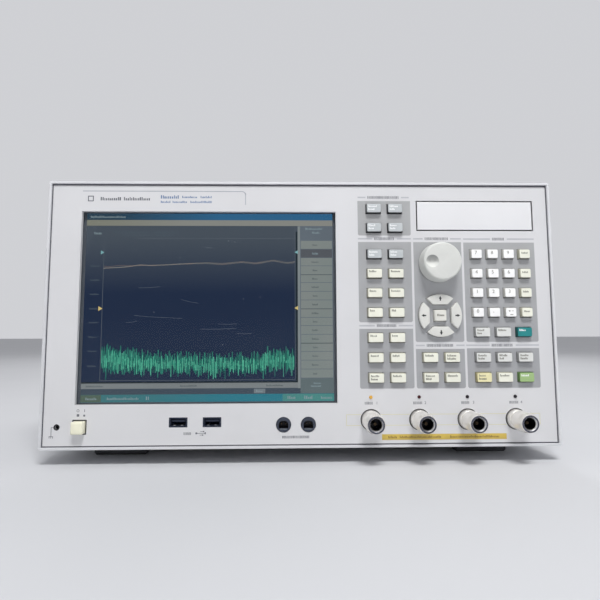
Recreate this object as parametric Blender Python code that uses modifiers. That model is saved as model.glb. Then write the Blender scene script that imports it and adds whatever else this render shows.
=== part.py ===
"""A four-port vector network analyser for the bench, as an assembly of separate solids.

The frame: +Z up, +X to the right as the user faces the instrument, +Y from the front panel to the rear.
The origin is at the middle of the footprint, on the surface that the feet stand on.
Places on the front panel are given as the user sees them: from the body's left edge and its bottom edge.
Depths are given from the front rim, towards the rear.
"""

import math

import bmesh
import bpy
from mathutils import Matrix, Vector

MM = 0.001

# Overall sizes
BODY_WIDTH = 425.6 * MM
BODY_HEIGHT = 221.5 * MM
BODY_DEPTH = 395.5 * MM
FOOT_HEIGHT = 12.8 * MM
REAR_FOOT_LENGTH = 27.7 * MM

# Clearances
GAP = 0.3 * MM
KEY_CLEARANCE = 0.3 * MM
RUNNING_CLEARANCE = 0.15 * MM
BOARD_AIR = 2.0 * MM
STOP_AIR = 0.5 * MM

# Front frame, a cast ring that holds the panel
FRAME_DEPTH = 28.0 * MM
FRAME_RIM = 2.6 * MM
FRAME_LEDGE = 9.0 * MM
FRAME_EDGE_RADIUS = 1.2 * MM

# Front panel, set back inside the rim
PANEL_SET_BACK = 1.5 * MM
PANEL_THICKNESS = 3.0 * MM

# Display, measured from the body's left and bottom edges
DISPLAY_LEFT = 27.3 * MM
DISPLAY_BOTTOM = 35.4 * MM
DISPLAY_WIDTH = 213.9 * MM
DISPLAY_HEIGHT = 160.7 * MM
WINDOW_OVERLAP = 4.0 * MM
WINDOW_THICKNESS = 1.8 * MM
MODULE_OVERLAP = 8.0 * MM
MODULE_THICKNESS = 12.0 * MM

# Keys. Block middles are measured from the body's right edge, rows from its bottom edge.
KEY_WIDTH = 12.8 * MM
KEY_HEIGHT = 8.2 * MM
KEY_REACH = 3.2 * MM
KEY_TRAVEL = 1.5 * MM
KEY_CORNER = 1.0 * MM
KEY_TOP_CHAMFER = 0.4 * MM
DIGIT_KEY_WIDTH = 9.6 * MM
WEB_THICKNESS = 1.0 * MM
WEB_MARGIN = 1.6 * MM
ROW_PITCH = 16.5 * MM
TOP_ROW = 198.5 * MM
UPPER_ROW = 159.3 * MM
MIDDLE_ROW = 88.9 * MM
LEFT_BLOCK = 143.1 * MM
CENTRE_BLOCK = 97.8 * MM
RIGHT_BLOCK = 45.1 * MM
PAIR_PITCH = 18.15 * MM
TRIPLE_PITCH = 17.65 * MM
DIGIT_PITCH = 13.7 * MM

# Arrow keys round the enter key
ARROWS_HEIGHT_ON_PANEL = 107.3 * MM
ARROW_OUTER_RADIUS = 18.0 * MM
ARROW_INNER_FLAT = 9.1 * MM
ARROW_HALF_WIDTH = 11.2 * MM
ARROW_ARC_POINTS = 8
ARROW_LIP = 0.8 * MM
ENTER_WIDTH = 10.4 * MM
ENTER_HEIGHT = 9.8 * MM

# Rotary knob, with its shaft
KNOB_HEIGHT_ON_PANEL = 151.8 * MM
KNOB_BASE_RADIUS = 16.6 * MM
KNOB_FACE_RADIUS = 15.5 * MM
KNOB_LENGTH = 11.8 * MM
KNOB_AIR = 0.8 * MM
KNOB_EDGE = 1.0 * MM
KNOB_SHAFT_RADIUS = 3.0 * MM
KNOB_SIDES = 40
DIMPLE_OFFSET = 8.7 * MM
DIMPLE_RADIUS = 4.8 * MM
DIMPLE_DEPTH = 2.4 * MM
BUSHING_RADIUS = 4.6 * MM
ENCODER_WIDTH = 13.0 * MM
ENCODER_THICKNESS = 4.0 * MM
BOARD_THICKNESS = 1.6 * MM
KEY_BOARD_AIR = 3.7 * MM
KEY_BOARD_MARGIN = 4.5 * MM

# Drive bay blanking cover
BAY_WIDTH = 101.0 * MM
BAY_HEIGHT = 26.4 * MM
BAY_RIGHT = 14.5 * MM
BAY_BOTTOM = 179.6 * MM
BAY_CLEARANCE = 0.5 * MM
BAY_FLANGE = 3.0 * MM
BAY_SET_BACK = 0.3 * MM

# Test ports. The first one is measured from the body's right edge.
PORT_COUNT = 4
PORT_FIRST = 156.9 * MM
PORT_PITCH = 40.1 * MM
PORT_HEIGHT_ON_PANEL = 21.8 * MM
PORT_REACH = 22.0 * MM
PORT_BARREL_RADIUS = 7.9 * MM
PORT_LIP_RADIUS = 7.0 * MM
PORT_LIP_LENGTH = 2.6 * MM
PORT_TAPER_LENGTH = 1.6 * MM
PORT_GROOVE_DEPTH = 0.9 * MM
PORT_GROOVE_WIDTH = 1.4 * MM
PORT_COLLAR_LENGTH = 5.5 * MM
PORT_BORE_RADIUS = 4.05 * MM
PORT_BORE_DEPTH = 11.0 * MM
PORT_PIN_RADIUS = 1.5 * MM
PORT_PIN_RECESS = 4.5 * MM
PORT_HOLE_CLEARANCE = 0.7 * MM
PORT_FLANGE_RADIUS = 10.4 * MM
PORT_FLANGE_THICKNESS = 3.0 * MM
PORT_TAIL_RADIUS = 4.0 * MM
PORT_SIDES = 24

# Lamps above the ports are holes with lenses in them; the lenses are trim
LAMP_HEIGHT_ON_PANEL = 40.1 * MM
LAMP_HOLE_RADIUS = 1.5 * MM

# Serial data sockets
SOCKET_MIDDLES = (111.2 * MM, 138.6 * MM)
SOCKET_HEIGHT_ON_PANEL = 21.0 * MM
SOCKET_WIDTH = 13.3 * MM
SOCKET_HEIGHT = 6.6 * MM
SOCKET_WALL = 0.5 * MM
SOCKET_LENGTH = 17.0 * MM
SOCKET_CAVITY = 12.0 * MM
SOCKET_BOARD_MARGIN = 4.0 * MM

# Probe power sockets
PROBE_MIDDLES = (196.8 * MM, 217.1 * MM)
PROBE_HEIGHT_ON_PANEL = 18.5 * MM
PROBE_RADIUS = 6.0 * MM
PROBE_PROUD = 0.5 * MM
PROBE_LENGTH = 14.0 * MM
PROBE_CAVITY_WIDTH = 7.4 * MM
PROBE_CAVITY_HEIGHT = 5.6 * MM
PROBE_CAVITY_DEPTH = 7.0 * MM
PROBE_BOARD_MARGIN = 3.0 * MM
PROBE_SIDES = 24

# Ground jack
GROUND_LEFT = 13.6 * MM
GROUND_HEIGHT_ON_PANEL = 17.8 * MM
GROUND_BORE_RADIUS = 2.0 * MM
GROUND_RADIUS = 3.9 * MM
GROUND_LENGTH = 20.0 * MM
GROUND_BORE_DEPTH = 15.0 * MM
GROUND_SIDES = 20

# Standby switch
SWITCH_LEFT = 31.8 * MM
SWITCH_HEIGHT_ON_PANEL = 17.8 * MM
BUTTON_WIDTH = 9.2 * MM
BUTTON_HEIGHT = 9.7 * MM
BUTTON_REACH = 6.0 * MM
BUTTON_EDGE = 0.9 * MM
BUTTON_TAIL = 3.5 * MM
STEM_WIDTH = 4.8 * MM
STEM_LENGTH = 9.0 * MM
STEM_CLEARANCE = 0.4 * MM
BUTTON_TRAVEL = 2.5 * MM
SWITCH_BODY_WIDTH = 15.0 * MM
SWITCH_BODY_HEIGHT = 13.0 * MM
SWITCH_BODY_LENGTH = 20.0 * MM

# Outer cover, a sheet sleeve that slides on from the rear
COVER_INSET = 0.8 * MM
COVER_WALL = 1.2 * MM
VENT_WIDTH = 3.0 * MM
VENT_HEIGHT = 20.0 * MM
VENT_PITCH = 7.0 * MM
VENT_COLUMNS = 16
VENT_ROWS = 2
VENT_ROW_PITCH = 26.0 * MM
VENT_FRONT = 170.0 * MM
VENT_BOTTOM = 26.0 * MM

# Chassis tray inside the sleeve
CHASSIS_AIR = 0.8 * MM
CHASSIS_WALL = 1.5 * MM
CHASSIS_WALL_HEIGHT = 150.0 * MM
CHASSIS_LIP = 8.0 * MM
CHASSIS_START = 2.0 * MM
CHASSIS_END = 4.0 * MM
FLOOR_AIR = 1.5 * MM

# Rear panel
REAR_THICKNESS = 1.5 * MM
REAR_OPENING_CLEARANCE = 0.5 * MM

# Fan
FAN_SIDE = 92.0 * MM
FAN_THICKNESS = 25.0 * MM
FAN_FROM_RIGHT = 125.0 * MM
FAN_HEIGHT_ON_PANEL = 148.0 * MM
FAN_BORE_RADIUS = 43.5 * MM
FAN_TIP_CLEARANCE = 1.5 * MM
FAN_HUB_RADIUS = 18.0 * MM
FAN_HUB_LENGTH = 16.0 * MM
FAN_BLADES = 7
FAN_BLADE_CHORD = 20.0 * MM
FAN_BLADE_THICKNESS = 1.4 * MM
FAN_BLADE_PITCH = math.radians(52)
FAN_STRUT_WIDTH = 5.0 * MM
FAN_STRUT_DEPTH = 3.5 * MM
FAN_STRUTS = 3
FAN_SIDES = 32
GRILLE_SLOT = 5.0 * MM
GRILLE_PITCH = 9.0 * MM
GRILLE_SLOTS = 9

# Power supply and its inlet, measured from the body's left edge
SUPPLY_LEFT = 14.0 * MM
SUPPLY_WIDTH = 105.0 * MM
SUPPLY_HEIGHT = 95.0 * MM
SUPPLY_FRONT = 190.0 * MM
SUPPLY_LENGTH = 165.0 * MM
INLET_LEFT = 60.0 * MM
INLET_HEIGHT_ON_PANEL = 45.0 * MM
INLET_WIDTH = 29.0 * MM
INLET_HEIGHT = 22.0 * MM
INLET_LENGTH = 24.0 * MM
INLET_FLANGE = 5.0 * MM
INLET_FLANGE_THICKNESS = 2.4 * MM
INLET_CAVITY_WIDTH = 24.4 * MM
INLET_CAVITY_HEIGHT = 16.6 * MM
INLET_CAVITY_DEPTH = 16.0 * MM

# Radio-frequency test set behind the ports
TEST_SET_MARGIN = 20.0 * MM
TEST_SET_FRONT = 31.0 * MM
TEST_SET_LENGTH = 150.0 * MM
TEST_SET_HEIGHT = 46.0 * MM

# Main board, with the sockets soldered along its rear edge: (width, height) and the space between them
MAIN_BOARD_RIGHT = 22.0 * MM
MAIN_BOARD_LENGTH = 165.0 * MM
MAIN_BOARD_LIFT = 6.0 * MM
CONNECTOR_SPACE = 9.0 * MM
CONNECTOR_DEPTH = 24.0 * MM
CONNECTOR_PROUD = 5.0 * MM
CONNECTOR_SINK = 0.4 * MM
CONNECTORS = (
    (16.0 * MM, 13.5 * MM),
    (14.5 * MM, 15.6 * MM),
    (31.0 * MM, 12.5 * MM),
    (53.0 * MM, 12.5 * MM),
    (60.0 * MM, 15.0 * MM),
)

# Feet and tilt legs
FOOT_WIDTH = 46.0 * MM
FOOT_LENGTH = 30.0 * MM
FOOT_INSET = 30.0 * MM
FOOT_FRONT = 34.0 * MM
FOOT_REAR = 20.0 * MM
FOOT_EDGE = 1.5 * MM
EAR_WIDTH = 6.0 * MM
FOOT_BAR = 11.0 * MM
LEG_CLEARANCE = 0.5 * MM
LEG_LENGTH = 46.0 * MM
LEG_THICKNESS = 5.0 * MM
LEG_PIVOT_RADIUS = 3.4 * MM
LEG_PIN_RADIUS = 1.6 * MM
LEG_PIN_LENGTH = 3.5 * MM
LEG_SIDES = 20

# Rear corner feet
REAR_FOOT_SIDE = 34.0 * MM
REAR_FOOT_EDGE = 2.0 * MM

# Side straps
STRAP_FRONT = 92.0 * MM
STRAP_LENGTH = 240.0 * MM
STRAP_WIDTH = 24.0 * MM
STRAP_THICKNESS = 2.4 * MM
STRAP_BOW = 1.4 * MM
STRAP_END = 34.0 * MM
STRAP_HEIGHT_ON_BODY = 170.0 * MM
STRAP_POINTS = 12

# Derived places
HALF_WIDTH = BODY_WIDTH / 2
BODY_BOTTOM = FOOT_HEIGHT
BODY_TOP = BODY_BOTTOM + BODY_HEIGHT
PORT_TIP = PORT_REACH - PANEL_SET_BACK
OVERALL_DEPTH = PORT_TIP + BODY_DEPTH + REAR_FOOT_LENGTH
FRONT_Y = PORT_TIP - OVERALL_DEPTH / 2
PANEL_FACE = PANEL_SET_BACK
PANEL_BACK = PANEL_SET_BACK + PANEL_THICKNESS
WEB_FRONT = PANEL_BACK + GAP
WEB_BACK = WEB_FRONT + WEB_THICKNESS
KEY_BOARD_DEPTH = WEB_BACK + KEY_TRAVEL + KEY_BOARD_AIR
REAR_FACE = BODY_DEPTH
REAR_INNER = BODY_DEPTH - REAR_THICKNESS
COVER_HALF = HALF_WIDTH - COVER_INSET
COVER_LOW = BODY_BOTTOM + COVER_INSET
COVER_HIGH = BODY_TOP - COVER_INSET
CHASSIS_HALF = COVER_HALF - COVER_WALL - CHASSIS_AIR
CHASSIS_LOW = COVER_LOW + COVER_WALL + CHASSIS_AIR
FLOOR = CHASSIS_LOW + CHASSIS_WALL + FLOOR_AIR


def depth(distance):
    """Y of a point this far behind the front rim."""
    return FRONT_Y + distance


def from_left(distance):
    """X of a point this far from the body's left edge, as the user sees it."""
    return distance - HALF_WIDTH


def from_right(distance):
    """X of a point this far from the body's right edge, as the user sees it."""
    return HALF_WIDTH - distance


def up(distance):
    """Z of a point this far above the body's bottom edge."""
    return BODY_BOTTOM + distance


# Scene, materials and shapes


def clear_scene():
    for obj in list(bpy.data.objects):
        bpy.data.objects.remove(obj)


def new_collection(name):
    made = bpy.data.collections.new(name)
    bpy.context.scene.collection.children.link(made)
    return made


def new_material(name, colour, roughness, metallic=0.0):
    made = bpy.data.materials.new(name)
    made.use_nodes = True
    shader = made.node_tree.nodes["Principled BSDF"]
    shader.inputs["Base Color"].default_value = (*colour, 1.0)
    shader.inputs["Roughness"].default_value = roughness
    shader.inputs["Metallic"].default_value = metallic
    return made


def add_block(bm, low, high):
    """A box between two corners."""
    low, high = Vector(low), Vector(high)
    size = high - low
    place = Matrix.Translation((low + high) / 2) @ Matrix.Diagonal((*size, 1.0))
    return bmesh.ops.create_cube(bm, size=1.0, matrix=place)["verts"]


def add_rod(bm, radius, start, length, axis, sides):
    """A cylinder that starts at a point and runs along +X or +Y."""
    turn = {"X": Matrix.Rotation(math.pi / 2, 4, "Y"), "Y": Matrix.Rotation(-math.pi / 2, 4, "X")}[axis]
    shift = Vector((length / 2, 0, 0)) if axis == "X" else Vector((0, length / 2, 0))
    place = Matrix.Translation(Vector(start) + shift) @ turn
    bmesh.ops.create_cone(
        bm, cap_ends=True, segments=sides, radius1=radius, radius2=radius, depth=length, matrix=place
    )


def round_edges_along_y(bm, verts, radius):
    """Chamfers the four long edges of a box that run from front to back."""
    edges = {edge for vert in verts for edge in vert.link_edges}
    lengthwise = [e for e in edges if abs(e.verts[0].co.y - e.verts[1].co.y) > GAP]
    bmesh.ops.bevel(bm, geom=lengthwise, offset=radius, segments=1, affect="EDGES")


def soften_front(bm, front_y, size):
    """Chamfers the edges that lie in the front plane of a key."""
    edges = [e for e in bm.edges if all(abs(v.co.y - front_y) < 1e-6 for v in e.verts)]
    bmesh.ops.bevel(bm, geom=edges, offset=size, segments=1, affect="EDGES")


def object_from(bm, name, group, material=None):
    mesh = bpy.data.meshes.new(name)
    bm.normal_update()
    bm.to_mesh(mesh)
    bm.free()
    made = bpy.data.objects.new(name, mesh)
    group.objects.link(made)
    if material:
        mesh.materials.append(material)
    return made


def helper_from(bm, name):
    """A shape that cuts or joins another one, and isn't a part itself."""
    made = object_from(bm, name, HELPERS)
    made.hide_render = True
    made.display_type = "WIRE"
    return made


def combine(target, helper, operation):
    modifier = target.modifiers.new(operation.lower(), "BOOLEAN")
    modifier.operation = operation
    modifier.object = helper
    modifier.solver = "EXACT"


def bevel_all(target, width, segments=1):
    modifier = target.modifiers.new("soft edges", "BEVEL")
    modifier.width = width
    modifier.segments = segments
    modifier.limit_method = "ANGLE"
    modifier.angle_limit = math.radians(50)


def block_object(name, low, high, material, edge=0.0):
    bm = bmesh.new()
    add_block(bm, low, high)
    made = object_from(bm, name, PARTS, material)
    if edge:
        bevel_all(made, edge)
    return made


def smooth(obj, angle=35):
    obj.data.shade_smooth()
    obj.data.set_sharp_from_angle(angle=math.radians(angle))


def outline_object(name, points, half_thickness, group, material=None):
    """A flat outline in the curve's own XY plane, made thick."""
    curve = bpy.data.curves.new(name, "CURVE")
    curve.dimensions = "2D"
    curve.fill_mode = "BOTH"
    curve.extrude = half_thickness
    spline = curve.splines.new("POLY")
    spline.points.add(len(points) - 1)
    for point, (x, y) in zip(spline.points, points):
        point.co = (x, y, 0.0, 1.0)
    spline.use_cyclic_u = True
    made = bpy.data.objects.new(name, curve)
    group.objects.link(made)
    if material:
        curve.materials.append(material)
    return made


def as_mesh(obj, name):
    """A closed mesh of a curve object, at the curve's place; the curve is removed."""
    graph = bpy.context.evaluated_depsgraph_get()
    mesh = bpy.data.meshes.new_from_object(obj.evaluated_get(graph))
    bm = bmesh.new()
    bm.from_mesh(mesh)
    bmesh.ops.remove_doubles(bm, verts=bm.verts, dist=1e-6)
    bm.to_mesh(mesh)
    bm.free()
    place = obj.matrix_world.copy()
    group = obj.users_collection[0]
    bpy.data.objects.remove(obj)
    made = bpy.data.objects.new(name, mesh)
    made.matrix_world = place
    group.objects.link(made)
    return made


# Cabinet


def build_front_frame():
    """Cast ring: a thin rim in front, a pocket for the panel, and a ledge behind it."""
    frame = block_object(
        "front_frame",
        (-HALF_WIDTH, depth(0), BODY_BOTTOM),
        (HALF_WIDTH, depth(FRAME_DEPTH), BODY_TOP),
        CAST,
        FRAME_EDGE_RADIUS,
    )
    bm = bmesh.new()
    add_block(
        bm,
        (-HALF_WIDTH + FRAME_RIM, depth(-FRAME_RIM), BODY_BOTTOM + FRAME_RIM),
        (HALF_WIDTH - FRAME_RIM, depth(PANEL_BACK + GAP), BODY_TOP - FRAME_RIM),
    )
    combine(frame, helper_from(bm, "panel_pocket"), "DIFFERENCE")
    bm = bmesh.new()
    add_block(
        bm,
        (-HALF_WIDTH + FRAME_LEDGE, depth(-FRAME_RIM), BODY_BOTTOM + FRAME_LEDGE),
        (HALF_WIDTH - FRAME_LEDGE, depth(FRAME_DEPTH + FRAME_RIM), BODY_TOP - FRAME_LEDGE),
    )
    combine(frame, helper_from(bm, "frame_opening"), "DIFFERENCE")


def key_rows():
    """Every row of keys: name, X of the keys, Z of the row, and the width of one key."""
    pair = (-PAIR_PITCH / 2, PAIR_PITCH / 2)
    triple = (-TRIPLE_PITCH, 0.0, TRIPLE_PITCH)
    digits = tuple((i - 1.5) * DIGIT_PITCH for i in range(4))
    blocks = (
        ("channel_keys", LEFT_BLOCK, pair, TOP_ROW, 2, KEY_WIDTH),
        ("response_keys", LEFT_BLOCK, pair, UPPER_ROW, 4, KEY_WIDTH),
        ("stimulus_keys", LEFT_BLOCK, pair, MIDDLE_ROW, 3, KEY_WIDTH),
        ("marker_keys", CENTRE_BLOCK, pair, MIDDLE_ROW - ROW_PITCH, 2, KEY_WIDTH),
        ("digit_keys", RIGHT_BLOCK, digits, UPPER_ROW, 4, DIGIT_KEY_WIDTH),
        ("entry_keys", RIGHT_BLOCK, triple, UPPER_ROW - 4 * ROW_PITCH, 1, KEY_WIDTH),
        ("state_keys", RIGHT_BLOCK, triple, MIDDLE_ROW - ROW_PITCH, 2, KEY_WIDTH),
    )
    rows = []
    for name, middle, offsets, top, count, width in blocks:
        for i in range(count):
            xs = [from_right(middle) + offset for offset in offsets]
            rows.append((f"{name}_row_{i + 1}", xs, up(top - i * ROW_PITCH), width))
    return rows


def arrow_outline(grow=0.0):
    """The upper arrow key seen from the front: an arc outside, a flat inside, and slanted ends."""
    radius = ARROW_OUTER_RADIUS + grow
    half = ARROW_HALF_WIDTH + grow
    spread = math.asin(half / radius)
    arc = []
    for i in range(ARROW_ARC_POINTS + 1):
        angle = spread - 2 * spread * i / ARROW_ARC_POINTS
        arc.append((radius * math.sin(angle), radius * math.cos(angle)))
    corner_height = radius * math.cos(spread)
    flat = ARROW_INNER_FLAT - grow
    inner_half = half - (corner_height - flat)
    return arc + [(-inner_half, flat), (inner_half, flat)]


ARROWS = (
    ("arrow_key_up", 0.0),
    ("arrow_key_left", 90.0),
    ("arrow_key_down", 180.0),
    ("arrow_key_right", 270.0),
)


def place_arrow(obj, angle, y):
    """Stands an outline up in the panel's plane, turned about the middle of the arrow keys."""
    stand = Matrix.Rotation(math.pi / 2, 4, "X")
    turn = Matrix.Rotation(-math.radians(angle), 4, "Y")
    place = Matrix.Translation((from_right(CENTRE_BLOCK), y, up(ARROWS_HEIGHT_ON_PANEL)))
    obj.matrix_world = place @ turn @ stand


def port_x(index):
    return from_right(PORT_FIRST - index * PORT_PITCH)


def add_hole(bm, x, z, width, height):
    """A straight-sided cutter through the panel."""
    add_block(
        bm,
        (x - width / 2, depth(PANEL_FACE - PANEL_THICKNESS), z - height / 2),
        (x + width / 2, depth(PANEL_BACK + PANEL_THICKNESS), z + height / 2),
    )


def add_round_hole(bm, x, z, radius, sides):
    start = (x, depth(PANEL_FACE - PANEL_THICKNESS), z)
    add_rod(bm, radius, start, 3 * PANEL_THICKNESS, "Y", sides)


def build_front_panel():
    """The panel plate, with a hole for everything that shows through it."""
    edge = FRAME_RIM + GAP
    panel = block_object(
        "front_panel",
        (-HALF_WIDTH + edge, depth(PANEL_FACE), BODY_BOTTOM + edge),
        (HALF_WIDTH - edge, depth(PANEL_BACK), BODY_TOP - edge),
        PANEL_PAINT,
    )
    bm = bmesh.new()
    add_hole(
        bm,
        from_left(DISPLAY_LEFT + DISPLAY_WIDTH / 2),
        up(DISPLAY_BOTTOM + DISPLAY_HEIGHT / 2),
        DISPLAY_WIDTH,
        DISPLAY_HEIGHT,
    )
    for _, xs, z, width in key_rows():
        for x in xs:
            add_hole(bm, x, z, width + 2 * KEY_CLEARANCE, KEY_HEIGHT + 2 * KEY_CLEARANCE)
    add_hole(
        bm,
        from_right(CENTRE_BLOCK),
        up(ARROWS_HEIGHT_ON_PANEL),
        ENTER_WIDTH + 2 * KEY_CLEARANCE,
        ENTER_HEIGHT + 2 * KEY_CLEARANCE,
    )
    add_hole(
        bm,
        from_right(BAY_RIGHT + BAY_WIDTH / 2),
        up(BAY_BOTTOM + BAY_HEIGHT / 2),
        BAY_WIDTH,
        BAY_HEIGHT,
    )
    for left in SOCKET_MIDDLES:
        add_hole(
            bm,
            from_left(left),
            up(SOCKET_HEIGHT_ON_PANEL),
            SOCKET_WIDTH + 2 * GAP,
            SOCKET_HEIGHT + 2 * GAP,
        )
    add_hole(
        bm,
        from_left(SWITCH_LEFT),
        up(SWITCH_HEIGHT_ON_PANEL),
        BUTTON_WIDTH + 2 * KEY_CLEARANCE,
        BUTTON_HEIGHT + 2 * KEY_CLEARANCE,
    )
    add_round_hole(bm, from_right(CENTRE_BLOCK), up(KNOB_HEIGHT_ON_PANEL), BUSHING_RADIUS + GAP, PROBE_SIDES)
    for i in range(PORT_COUNT):
        radius = PORT_BARREL_RADIUS + PORT_HOLE_CLEARANCE
        add_round_hole(bm, port_x(i), up(PORT_HEIGHT_ON_PANEL), radius, PORT_SIDES)
        add_round_hole(bm, port_x(i), up(LAMP_HEIGHT_ON_PANEL), LAMP_HOLE_RADIUS, 12)
    for left in PROBE_MIDDLES:
        add_round_hole(bm, from_left(left), up(PROBE_HEIGHT_ON_PANEL), PROBE_RADIUS + GAP, PROBE_SIDES)
    add_round_hole(bm, from_left(GROUND_LEFT), up(GROUND_HEIGHT_ON_PANEL), GROUND_BORE_RADIUS, GROUND_SIDES)
    combine(panel, helper_from(bm, "panel_holes"), "DIFFERENCE")
    for name, angle in ARROWS:
        hole = outline_object(f"{name}_hole", arrow_outline(KEY_CLEARANCE), 2 * PANEL_THICKNESS, HELPERS)
        place_arrow(hole, angle, depth(PANEL_FACE))
        hole = as_mesh(hole, f"{name}_hole_cutter")
        hole.hide_render = True
        hole.display_type = "WIRE"
        combine(panel, hole, "DIFFERENCE")


def build_display():
    """Touch glass against the back of the panel, and the display module behind it."""
    left, bottom = from_left(DISPLAY_LEFT), up(DISPLAY_BOTTOM)
    right, top = left + DISPLAY_WIDTH, bottom + DISPLAY_HEIGHT
    glass_back = PANEL_BACK + GAP + WINDOW_THICKNESS
    block_object(
        "display_window",
        (left - WINDOW_OVERLAP, depth(PANEL_BACK + GAP), bottom - WINDOW_OVERLAP),
        (right + WINDOW_OVERLAP, depth(glass_back), top + WINDOW_OVERLAP),
        GLASS,
    )
    block_object(
        "display_module",
        (left - MODULE_OVERLAP, depth(glass_back + GAP), bottom - MODULE_OVERLAP),
        (right + MODULE_OVERLAP, depth(glass_back + GAP + MODULE_THICKNESS), top + MODULE_OVERLAP),
        STEEL,
        GAP,
    )


def build_bay_cover():
    """Blanking plate of the drive bay, with a flange behind the panel."""
    left = from_right(BAY_RIGHT + BAY_WIDTH) + BAY_CLEARANCE
    right = from_right(BAY_RIGHT) - BAY_CLEARANCE
    bottom = up(BAY_BOTTOM) + BAY_CLEARANCE
    top = up(BAY_BOTTOM + BAY_HEIGHT) - BAY_CLEARANCE
    cover = block_object(
        "drive_bay_cover",
        (left, depth(PANEL_FACE + BAY_SET_BACK), bottom),
        (right, depth(PANEL_BACK + GAP + BAY_FLANGE / 2), top),
        PANEL_PAINT,
    )
    bm = bmesh.new()
    add_block(
        bm,
        (left - BAY_FLANGE, depth(PANEL_BACK + GAP), bottom - BAY_FLANGE),
        (right + BAY_FLANGE, depth(PANEL_BACK + GAP + BAY_FLANGE), top + BAY_FLANGE),
    )
    combine(cover, helper_from(bm, "bay_flange"), "UNION")


def build_outer_cover():
    """Sheet sleeve, open at both ends, with ventilation slots in its sides."""
    start, end = depth(FRAME_DEPTH + GAP), depth(REAR_FACE)
    low, high = (-COVER_HALF, start, COVER_LOW), (COVER_HALF, end, COVER_HIGH)
    cover = block_object("outer_cover", low, high, COVER_PAINT)
    bm = bmesh.new()
    add_block(
        bm,
        (-COVER_HALF + COVER_WALL, start - COVER_WALL, COVER_LOW + COVER_WALL),
        (COVER_HALF - COVER_WALL, end + COVER_WALL, COVER_HIGH - COVER_WALL),
    )
    combine(cover, helper_from(bm, "cover_inside"), "DIFFERENCE")
    bm = bmesh.new()
    for side in (-1, 1):
        for column in range(VENT_COLUMNS):
            for row in range(VENT_ROWS):
                y = depth(VENT_FRONT + column * VENT_PITCH)
                z = up(VENT_BOTTOM + row * VENT_ROW_PITCH)
                x = side * (COVER_HALF - COVER_WALL / 2)
                add_block(
                    bm,
                    (x - COVER_WALL, y - VENT_WIDTH / 2, z),
                    (x + COVER_WALL, y + VENT_WIDTH / 2, z + VENT_HEIGHT),
                )
    combine(cover, helper_from(bm, "vent_slots"), "DIFFERENCE")


def build_chassis():
    """Folded tray that carries everything inside: a floor, two walls and two lips."""
    start, end = depth(FRAME_DEPTH + CHASSIS_START), depth(REAR_INNER - CHASSIS_END)
    high = CHASSIS_LOW + CHASSIS_WALL_HEIGHT
    chassis = block_object("chassis", (-CHASSIS_HALF, start, CHASSIS_LOW), (CHASSIS_HALF, end, high), ZINC)
    bm = bmesh.new()
    add_block(
        bm,
        (-CHASSIS_HALF + CHASSIS_WALL, start - CHASSIS_WALL, CHASSIS_LOW + CHASSIS_WALL),
        (CHASSIS_HALF - CHASSIS_WALL, end + CHASSIS_WALL, high - CHASSIS_WALL),
    )
    combine(chassis, helper_from(bm, "tray_inside"), "DIFFERENCE")
    bm = bmesh.new()
    add_block(
        bm,
        (-CHASSIS_HALF + CHASSIS_LIP, start - CHASSIS_WALL, high - 2 * CHASSIS_WALL),
        (CHASSIS_HALF - CHASSIS_LIP, end + CHASSIS_WALL, high + CHASSIS_WALL),
    )
    combine(chassis, helper_from(bm, "tray_top"), "DIFFERENCE")


# Keys, knob and switch


def add_key(bm, x, z, width, height, corner):
    """One key cap from the web to its front face, with rounded corners."""
    verts = add_block(
        bm,
        (x - width / 2, depth(PANEL_FACE - KEY_REACH), z - height / 2),
        (x + width / 2, depth(WEB_FRONT + WEB_THICKNESS / 2), z + height / 2),
    )
    round_edges_along_y(bm, verts, corner)


def build_key_row(name, xs, z, width):
    """A row of key caps on the rubber web that they share behind the panel."""
    bm = bmesh.new()
    add_block(
        bm,
        (xs[0] - width / 2 - WEB_MARGIN, depth(WEB_FRONT), z - KEY_HEIGHT / 2 - WEB_MARGIN),
        (xs[-1] + width / 2 + WEB_MARGIN, depth(WEB_BACK), z + KEY_HEIGHT / 2 + WEB_MARGIN),
    )
    web = object_from(bm, name, PARTS, KEY_RUBBER)
    bm = bmesh.new()
    for x in xs:
        add_key(bm, x, z, width, KEY_HEIGHT, KEY_CORNER)
    soften_front(bm, depth(PANEL_FACE - KEY_REACH), KEY_TOP_CHAMFER)
    combine(web, helper_from(bm, f"{name}_caps"), "UNION")


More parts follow.
